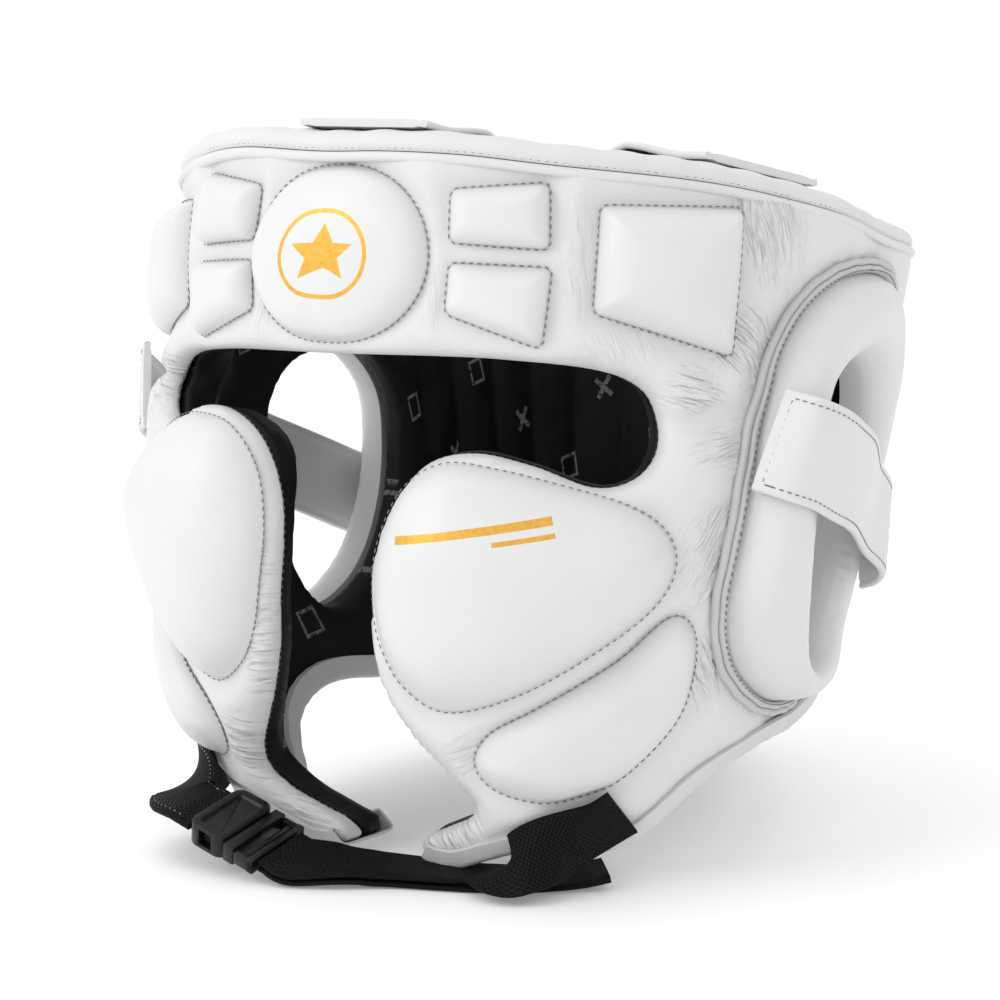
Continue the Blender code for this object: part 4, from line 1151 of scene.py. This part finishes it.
def band(middles, half, rise, along_count, border=None, soft=0.0, tip=None):
    """A strap with rounded edges through stations, with sewn borders if asked."""
    lengths, _ = lengths_of(middles)
    stations = lengths / lengths[-1]
    width = 2 * np.linalg.norm(half[0])
    corner = min(0.45, 0.9 * np.linalg.norm(rise[0]) / np.linalg.norm(half[0]))
    quarter = np.linspace(0, math.pi / 2, 4)
    right = [(1 - corner + corner * math.sin(a), -math.cos(a)) for a in quarter]
    right += [(1 - corner + corner * math.cos(a), math.sin(a)) for a in quarter[1:]]
    tops = [(x, 1.0) for x in np.linspace(1 - corner, -1 + corner, 24)[1:-1]]
    left = [(-x, -y) for x, y in right]
    bottoms = [(-x, -1.0) for x, _ in tops]
    ring = np.array(right + tops + left + bottoms + [right[0]])

    def at(u, table):
        return np.stack([np.interp(u, stations, table[:, k]) for k in range(3)], -1)

    def spot(u, v):
        k = np.round(v * (len(ring) - 1)).astype(int)
        a, b = ring[k, 0], ring[k, 1]
        if border:
            inset = 1 - border / (width / 2)
            b = b * (1 - 0.35 * np.exp(-((np.abs(a) - inset) / 0.035)**2) + soft * (1 - a**4))
        if tip is not None:
            b = np.where(b > 0, b * tip(u), b)
        return at(u, middles) + at(u, half) * a[:, None] + at(u, rise) * b[:, None]

    bm = warped(along_count, len(ring) - 1, spot, (lengths[-1], 2 * width))
    return closed_ends(bm)


def marks_curve(marks, fine=14):
    middles = smooth_curve([m[0] for m in marks], fine)
    faces = smooth_curve([m[1] for m in marks], fine)
    return middles, faces


def ear_strap_stations(side):
    marks = np.array(EAR_STRAP)
    bearing = side * marks[:, 0]
    z = marks[:, 1] * SHELL_HEIGHT
    rise = np.maximum(STRAP_SEAT, marks[:, 2] * ear_puff(marks[:, 0], side, STRAP_FLATTENING))
    lift = SEAT_GAP + EAR_STRAP_THICKNESS / 2 + rise
    middles = settle(ring_place(bearing, z, lift))
    faces = ring_place(bearing, z, 1.0) - ring_place(bearing, z)
    return marks_curve(list(zip(middles, faces)))


class HEADGEAR_OT_ear_straps(bpy.types.Operator):
    """Leather straps over the ears"""
    bl_idname = "headgear.ear_straps"
    bl_label = "Ear straps"

    def execute(self, context):
        finish = leather("strap_leather", tuple(context.scene.headgear_colours.leather), 0.38, grain=0.8)
        for side, word in ((1, "near"), (-1, "far")):
            middles, faces = ear_strap_stations(side)
            half, rise = strap_frames(middles, faces, EAR_STRAP_WIDTH, EAR_STRAP_THICKNESS)
            bm = band(middles, half, rise, 150, EAR_BORDER, 0.15)
            finished(f"ear_strap_{word}_leather", bm, finish, ["ear_strap_" + word])
        return {"FINISHED"}


def rim_top(bearing, inward):
    bearing = np.array([bearing], float)
    base = rim_height(bearing) - ROLL_HEIGHT
    spot = ring_place(bearing, base, -inward)
    spot[:, 2] = base + ROLL_HEIGHT
    return settle(spot)[0]


def crown_strap_stations(first_edge, second_edge, sag, steps=96):
    """Middles, half-widths and rises of a strap that rests on the roll at its ends and dips between."""
    inward = (SHELL_WALL + LINING_WALL) / 4

    def edge(bearings):
        start, end = (rim_top(bearing, inward) for bearing in bearings)
        t = np.linspace(0, 1, steps + 1)
        from_end = np.minimum(t, 1 - t)
        into = np.maximum(0.0, from_end - CROWN_LEDGE) / (0.5 - CROWN_LEDGE)
        hump = CROWN_HUMP * ramp(from_end / CROWN_LEDGE, 0.25, 1.0)
        rise = CROWN_SEAT + CROWN_STRAP_THICKNESS / 2 + hump - sag * (1 - (1 - into)**2)
        points = start + (end - start) * t[:, None]
        points[:, 2] += rise
        return points

    one, two = edge(first_edge), edge(second_edge)
    middles, half = (one + two) / 2, (two - one) / 2
    up = unit(np.cross(np.gradient(middles, axis=0), half))
    up[up[:, 2] < 0] *= -1
    return middles, half, up * CROWN_STRAP_THICKNESS / 2


def crown_straps():
    """Name, bearings of both edges at both ends, and dip of each strap."""
    half, front, back = LONG_HALF, CROSS_BEARING - CROSS_HALF, CROSS_BEARING + CROSS_HALF
    return (("crown_strap_long", (-half, half - 180), (half, 180 - half), LONG_SAG),
            ("crown_strap_cross", (-front, front), (-back, back), CROSS_SAG))


class HEADGEAR_OT_crown_straps(bpy.types.Operator):
    """Crossed straps over the crown"""
    bl_idname = "headgear.crown_straps"
    bl_label = "Crown straps"

    def execute(self, context):
        finish = leather("crown_leather", tuple(context.scene.headgear_colours.leather), 0.38, grain=0.8)
        backing = webbing_finish("strap_backing")
        for name, first, second, sag in crown_straps():
            middles, half, rise = crown_strap_stations(first, second, sag)
            bm = band(middles, half, rise, 160, CROWN_BORDER, 0.10)
            finished(name + "_leather", bm, finish, [name])
            free = slice(9, -9)
            bm = band((middles - rise * 1.5)[free], half[free] * 0.97, rise[free] * 0.45, 140)
            finished(name + "_backing", bm, backing)
        return {"FINISHED"}


def chin_point(aside, forward, up):
    return np.array((aside * CHIN_ASIDE, -forward * CHIN_FORWARD, up * CHIN_UP)) + SHIFT


def free_run(table):
    """Middles and facings of a run of webbing that lies free."""
    marks = []
    for aside, forward, up, lean in table:
        angle = math.radians(lean)
        marks.append((chin_point(aside, forward, up), np.array((0, -math.sin(angle), math.cos(angle)))))
    return marks


def buckle_frame():
    """Middle of the buckle, then its run, its width and its facing."""
    run = unit(np.array(BUCKLE_RUN))
    angle = math.radians(BUCKLE_LEAN)
    half = unit(np.cross(run, (0, -math.sin(angle), math.cos(angle))))
    return chin_point(*BUCKLE_PLACE), run, half, unit(np.cross(half, run))


def seat(bearing, share, thickness):
    """Middle and facing of webbing that is sewn on the leather over the hem."""
    spot = np.array((bearing * DEGREE, share * SHELL_HEIGHT))
    face = leather_normal(spot, 0.012)
    return on_leather(spot) + face * (2 * BAND_GAP + HEM_HEIGHT + thickness / 2), face


def chin_routes():
    """Marks of the upper webbing, the lower webbing and the anchor tab."""
    middle, run, _, face = buckle_frame()
    reach_out = BUCKLE_LENGTH / 2 + 0.0003 + SEAT_GAP
    layer = WEBBING_THICKNESS + 2 * SEAT_GAP
    leads = [reach_out + BUCKLE_LEAD * k / 2 for k in range(3)]
    lower = [(middle + run * lead - face * layer / 2, face) for lead in leads] + free_run(WEB_RUN)
    upper = [(spot + way * layer, way) for spot, way in lower]
    near = [seat(bearing, share, WEBBING_THICKNESS) for bearing, share in NEAR_TAB]
    far = [seat(bearing, share, TAB_THICKNESS) for bearing, share in FAR_TAB]
    tab_end = [(middle - run * lead, face) for lead in leads[::-1]]
    return (upper + free_run(WEB_RISE) + near[::-1], lower + free_run(TAIL_TIP),
            far + free_run(ANCHOR_TAB) + tab_end)


class HEADGEAR_OT_chin_strap(bpy.types.Operator):
    """Chin webbing with its tail, and the tab that anchors the buckle"""
    bl_idname = "headgear.chin_strap"
    bl_label = "Chin strap"

    def execute(self, context):
        webbing = webbing_finish()
        upper, lower, tab = chin_routes()
        rows = (("chin_webbing", upper, WEBBING_WIDTH, WEBBING_THICKNESS, None),
                ("chin_webbing_tail", lower, WEBBING_WIDTH, WEBBING_THICKNESS, self.folded_tip),
                ("anchor_tab", tab, TAB_WIDTH, TAB_THICKNESS, None))
        for name, marks, width, thickness, tip in rows:
            middles, faces = marks_curve(marks)
            half, rise = strap_frames(middles, faces, width, thickness)
            bm = band(middles, half, rise, 220, WEBBING_BORDER, 0.0, tip)
            finished(name + "_cloth", bm, webbing, [name])
        return {"FINISHED"}

    @staticmethod
    def folded_tip(u):
        return 1 + 0.9 * ramp(u, 0.955, 0.962)


class HEADGEAR_OT_buckle(bpy.types.Operator):
    """Two halves of the side-release buckle"""
    bl_idname = "headgear.buckle"
    bl_label = "Buckle"

    def execute(self, context):
        plastic = plastic_finish()
        middle, run, half, face = buckle_frame()
        axes = np.stack((run, half, face), -1)
        turn = Matrix([(*row, at) for row, at in zip(axes, middle)] + [(0, 0, 0, 1)])
        split = BUCKLE_LENGTH * 0.05
        self.socket(plastic, turn, -BUCKLE_LENGTH / 2, split - FIT_GAP / 2)
        self.plug(plastic, turn, split + FIT_GAP / 2, BUCKLE_LENGTH / 2)
        return {"FINISHED"}

    @staticmethod
    def block(bm, low, high):
        """A box between two corners."""
        size = Vector(high) - Vector(low)
        made = bmesh.ops.create_cube(bm, size=1.0)["verts"]
        bmesh.ops.scale(bm, vec=size, verts=made)
        bmesh.ops.translate(bm, vec=(Vector(low) + Vector(high)) / 2, verts=made)
        return made

    @staticmethod
    def rounded(bm, edges, radius, segments=2):
        bmesh.ops.bevel(bm, geom=edges, offset=radius, segments=segments, profile=0.5, affect="EDGES",
                        material=-1)

    def socket(self, plastic, turn, start, end):
        """The half with a sunk panel above and below and a window on each side."""
        bm = bmesh.new()
        wide, thick = BUCKLE_WIDTH / 2, BUCKLE_THICKNESS / 2
        self.block(bm, (start, -wide, -thick), (end, wide, thick))
        upright = [e for e in bm.edges if abs(e.verts[0].co.z - e.verts[1].co.z) > 1e-5]
        self.rounded(bm, upright, 0.0036, 5)
        for sign in (1, -1):
            top = max(bm.faces, key=lambda f: sign * f.calc_center_median().z)
            bmesh.ops.inset_region(bm, faces=[top], thickness=0.0026, depth=0.0)
            bmesh.ops.inset_region(bm, faces=[top], thickness=0.0008, depth=-0.0009)
        sides = [f for f in bm.faces if abs(abs(f.normal.y) - 1) < 1e-3 and f.calc_area() > 1e-5]
        for side in sides:
            bmesh.ops.inset_region(bm, faces=[side], thickness=0.0016, depth=0.0)
            bmesh.ops.inset_region(bm, faces=[side], thickness=0.0002, depth=-0.0030)
        self.rounded(bm, [e for e in bm.edges if e.calc_face_angle(0) > 0.6], 0.00045)
        bmesh.ops.transform(bm, matrix=turn, verts=bm.verts)
        finished("buckle_socket_shell", bm, plastic, ["buckle_socket"])

    def plug(self, plastic, turn, start, end):
        """The half with a collar, two rails and the bars that the webbing goes round."""
        bm = bmesh.new()
        wide, thick = BUCKLE_WIDTH / 2, BUCKLE_THICKNESS * 0.4
        rail, collar, bar = 0.0022, start + 0.0042, start + 0.0066
        self.block(bm, (start, -wide, -thick), (collar, wide, thick))
        self.block(bm, (collar, -wide, -thick * 0.7), (end, -wide + rail, thick * 0.7))
        self.block(bm, (collar, wide - rail, -thick * 0.7), (end, wide, thick * 0.7))
        self.block(bm, (end - 0.0024, -wide, -thick * 0.8), (end, wide, thick * 0.8))
        self.block(bm, (bar, -wide + 0.001, -thick * 0.5), (bar + rail, wide - 0.001, thick * 0.5))
        self.rounded(bm, bm.edges[:], 0.0005)
        bmesh.ops.transform(bm, matrix=turn, verts=bm.verts)
        finished("buckle_plug_frame", bm, plastic, ["buckle_plug"])


def stitch_row(rows, points, ups, sizes, gain=1.0):
    """Add frames of stitches along a fine chain of points to the rows."""
    lengths, _ = lengths_of(points)
    count = int(lengths[-1] / sizes.stitch_pitch)
    at = (np.arange(count) + 0.5) / count
    middle, ahead = along(points, at), along(points, np.minimum(1.0, at + 0.5 / count))
    run = unit(ahead - middle)
    side = unit(np.cross(along(ups, at), run))
    up = np.cross(run, side)
    axes = (run * sizes.stitch_length / 2 * gain, side * sizes.thread * gain, up * sizes.thread * gain)
    rows.append((np.stack(axes, 1), middle))


def leather_row(rows, spots, off, sizes, closed=True, gain=1.0):
    """Stitches along flat spots on the leather."""
    spots = evenly(spots, 0.0009, closed)
    if closed:
        spots = np.vstack((spots, spots[:1]))
    stitch_row(rows, on_leather(spots, off), leather_normal(spots), sizes, gain)


def sewn(name, rows, thread):
    """Ovals half sunk in the surface, one in each stitch frame."""
    axes, middles = (np.concatenate(parts) for parts in zip(*rows))
    bm = bmesh.new()
    bmesh.ops.create_uvsphere(bm, u_segments=6, v_segments=4, radius=1.0)
    shape = coords(bm)
    one = bpy.data.meshes.new(name + "_one")
    bm.to_mesh(one)
    for _ in range(len(middles) - 1):
        bm.from_mesh(one)
    place_verts(bm, (np.einsum("kj,njc->nkc", shape, axes) + middles[:, None]).reshape(-1, 3))
    bpy.data.meshes.remove(one)
    finished(name, bm, thread)


class HEADGEAR_OT_stitches(bpy.types.Operator):
    """Rows of stitches along the seams"""
    bl_idname = "headgear.stitches"
    bl_label = "Stitches"

    def execute(self, context):
        sizes = context.scene.headgear_sizes
        dark = thread_finish("grey_thread", tuple(context.scene.headgear_colours.thread))
        pale = thread_finish("white_thread", (0.75, 0.75, 0.74))
        self.pads(sizes, dark)
        self.seams(sizes, dark)
        self.straps(sizes, dark)
        self.webbing(sizes, pale)
        return {"FINISHED"}

    @staticmethod
    def pads(sizes, thread):
        rows = []
        depth = SEAT_GAP - sizes.seam_depth + 0.00045
        leather_row(rows, moved(medallion_outline(), STITCH_INSET), depth, sizes)
        for side in (1, -1):
            for _, outline, _ in pad_outlines(side):
                leather_row(rows, moved(outline, STITCH_INSET), depth, sizes)
        sewn("pad_stitches", rows, thread)

    @staticmethod
    def seams(sizes, thread):
        rows = []
        wall = SHELL_WALL + LINING_GAP + LINING_WALL
        for side in (1, -1):
            leather_row(rows, moved(ear_seam(side), 0.0007), 0.0022, sizes)
            edge = face_edge(side)
            stitch_row(rows, on_leather(edge, -SHELL_WALL + 0.0006), leather_normal(edge), sizes, 0.8)
            edge, up = hem_spots(side)
            leather_row(rows, edge + up * HEM_WIDTH * 0.80, 0.0018, sizes, False, 0.85)
            inner = edge + up * HEM_WIDTH * 1.1
            stitch_row(rows, on_leather(inner, -wall - 0.0012), leather_normal(inner), sizes, 0.85)
        bearing = np.linspace(-180, 180, 1400)
        base = rim_height(bearing) - ROLL_HEIGHT
        row = ring_place(bearing, base, ROLL_PROUD + 0.0002)
        row[:, 2] = base + 0.0009
        spots = np.stack((bearing * DEGREE, base), -1)
        stitch_row(rows, settle(row), leather_normal(spots), sizes, 0.9)
        sewn("seam_stitches", rows, thread)

    @staticmethod
    def border(rows, middles, half, rise, inset, sizes, ends=True):
        """Rows along both edges of a strap, and across its ends."""
        width = np.linalg.norm(half[0])
        share = 1 - inset / width
        lengths, _ = lengths_of(middles)
        first = np.searchsorted(lengths, inset)
        last = np.searchsorted(lengths, lengths[-1] - inset)
        for sign in (1, -1):
            row = middles + half * share * sign + rise * 0.86
            stitch_row(rows, row[first:last + 1], rise[first:last + 1], sizes)
        if ends:
            for k in (first, last):
                t = np.linspace(-share, share, 30)[:, None]
                stitch_row(rows, middles[k] + half[k] * t + rise[k], np.repeat(rise[k:k + 1], 30, 0), sizes)

    def straps(self, sizes, thread):
        rows = []
        for side in (1, -1):
            middles, faces = ear_strap_stations(side)
            half, rise = strap_frames(middles, faces, EAR_STRAP_WIDTH, EAR_STRAP_THICKNESS)
            self.border(rows, middles, half, rise, EAR_BORDER, sizes)
        for _, first, second, sag in crown_straps():
            middles, half, rise = crown_strap_stations(first, second, sag)
            self.border(rows, middles, half, rise, CROWN_BORDER, sizes)
        sewn("strap_stitches", rows, thread)

    def webbing(self, sizes, thread):
        rows = []
        middles, faces = marks_curve(chin_routes()[2])
        half, rise = strap_frames(middles, faces, TAB_WIDTH, TAB_THICKNESS)
        self.border(rows, middles, half, rise, TAB_BORDER, sizes, False)
        sewn("anchor_stitches", rows, thread)


def floor_finish(colour):
    finish = Finish("studio_floor", 0.6, Emission_Color=(1.0, 1.0, 1.0, 1.0), Emission_Strength=0.16)
    finish.colour(finish.mix(finish.noise(finish.place(), 3, 2), tuple(c * 0.985 for c in colour), colour))
    return finish.material


class HEADGEAR_OT_stage(bpy.types.Operator):
    """Pale floor, soft lights and the camera"""
    bl_idname = "headgear.stage"
    bl_label = "Studio"

    def execute(self, context):
        scene = context.scene
        bm = bmesh.new()
        bmesh.ops.create_grid(bm, x_segments=1, y_segments=1, size=6.0)
        bmesh.ops.translate(bm, vec=(0, 0, -0.0002), verts=bm.verts)
        mesh = bpy.data.meshes.new("studio_floor")
        bm.to_mesh(mesh)
        bm.free()
        mesh.materials.append(floor_finish(tuple(scene.headgear_colours.floor)))
        floor = bpy.data.objects.new("studio_floor", mesh)
        scene.collection.objects.link(floor)
        floor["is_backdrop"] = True
        world = bpy.data.worlds.new("studio_air")
        scene.world = world
        world.use_nodes = True
        world.node_tree.nodes["Background"].inputs["Color"].default_value = (1.0, 1.0, 1.0, 1.0)
        world.node_tree.nodes["Background"].inputs["Strength"].default_value = 1.0
        lamps = (("key_light", (-0.80, -1.30, 0.95), 0.8, 6.5), ("top_light", (-0.50, -0.3, 1.5), 1.0, 3))
        for name, spot, size, power in lamps:
            lamp = bpy.data.lights.new(name, "AREA")
            lamp.shape = "SQUARE"
            lamp.size = size
            lamp.energy = power
            item = bpy.data.objects.new(name, lamp)
            item.location = spot
            item.rotation_euler = (Vector((0, 0, 0.1)) - Vector(spot)).to_track_quat("-Z", "Y").to_euler()
            scene.collection.objects.link(item)
        self.camera(scene)
        scene.view_settings.view_transform = "Standard"
        return {"FINISHED"}

    @staticmethod
    def camera(scene):
        lens = bpy.data.cameras.new("photo_camera")
        lens.lens = CAMERA_LENS
        lens.sensor_width = SENSOR
        lens.clip_start = 0.01
        lens.dof.use_dof = False
        eye = bpy.data.objects.new("photo_camera", lens)
        turn, tilt = math.radians(CAMERA_TURN), math.radians(CAMERA_TILT)
        back = Vector((math.sin(turn) * math.cos(tilt), -math.cos(turn) * math.cos(tilt), math.sin(tilt)))
        eye.location = Vector(CAMERA_AIM) + Vector(SHIFT) + back * CAMERA_REACH
        eye.rotation_euler = back.to_track_quat("Z", "Y").to_euler()
        scene.collection.objects.link(eye)
        scene.camera = eye


# Settings and panel


def colour_field(name, description, default):
    return FloatVectorProperty(name=name, description=description, default=default, subtype="COLOR",
                               min=0, max=1)


def length_field(name, description, default):
    return FloatProperty(name=name, description=description, default=default, unit="LENGTH", min=0.0,
                         precision=5)


class HeadgearSizes(bpy.types.PropertyGroup):
    """Sizes of the sewing"""
    stitch_pitch: length_field("Stitch pitch", "From one stitch to the next", 0.0024)
    stitch_length: length_field("Stitch length", "Length of the thread that shows in one stitch", 0.0016)
    thread: length_field("Thread radius", "Radius of the sewing thread", 0.00022)
    seam_depth: length_field("Seam depth", "How far the seams pull the leather in", 0.0012)


class HeadgearColours(bpy.types.PropertyGroup):
    """Colours of the finishes"""
    leather: colour_field("Leather", "Leather of the shell, rings and straps", (0.69, 0.69, 0.685))
    pads: colour_field("Pads", "Leather of the raised pads", (0.70, 0.705, 0.695))
    welt: colour_field("Welt", "Folded leather in the ear seams", (0.54, 0.54, 0.53))
    binding: colour_field("Binding", "Binding of the lower edge", (0.64, 0.64, 0.63))
    thread: colour_field("Thread", "Stitches on the white leather", (0.24, 0.23, 0.23))
    floor: colour_field("Floor", "Floor under the headgear", (0.90, 0.90, 0.90))


PIECES = (
    HEADGEAR_OT_stage, HEADGEAR_OT_shell, HEADGEAR_OT_lining, HEADGEAR_OT_rim, HEADGEAR_OT_hem,
    HEADGEAR_OT_pads, HEADGEAR_OT_ears, HEADGEAR_OT_ear_straps, HEADGEAR_OT_crown_straps,
    HEADGEAR_OT_chin_strap, HEADGEAR_OT_buckle, HEADGEAR_OT_stitches,
)


class HEADGEAR_PT_panel(bpy.types.Panel):
    """Pieces and settings of the headgear"""
    bl_idname = "HEADGEAR_PT_panel"
    bl_label = "Boxing Headgear"
    bl_space_type = "VIEW_3D"
    bl_region_type = "UI"
    bl_category = "Headgear"

    def draw(self, context):
        for group in (context.scene.headgear_sizes, context.scene.headgear_colours):
            for key in group.__annotations__:
                self.layout.prop(group, key)
        for piece in PIECES:
            self.layout.operator(piece.bl_idname)


CLASSES = (HeadgearSizes, HeadgearColours, *PIECES, HEADGEAR_PT_panel)


def register():
    for item in CLASSES:
        bpy.utils.register_class(item)
    bpy.types.Scene.headgear_sizes = PointerProperty(type=HeadgearSizes)
    bpy.types.Scene.headgear_colours = PointerProperty(type=HeadgearColours)


def unregister():
    del bpy.types.Scene.headgear_colours
    del bpy.types.Scene.headgear_sizes
    for item in reversed(CLASSES):
        bpy.utils.unregister_class(item)


def plain(box):
    return [[float(x) for x in corner] for corner in box]


def main():
    register()
    for piece in PIECES:
        group, name = piece.bl_idname.split(".")
        getattr(getattr(bpy.ops, group), name)()
    {"cad": plain(CAD_BOX), "visual": plain(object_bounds())}


if __name__ == "__main__":
    main()
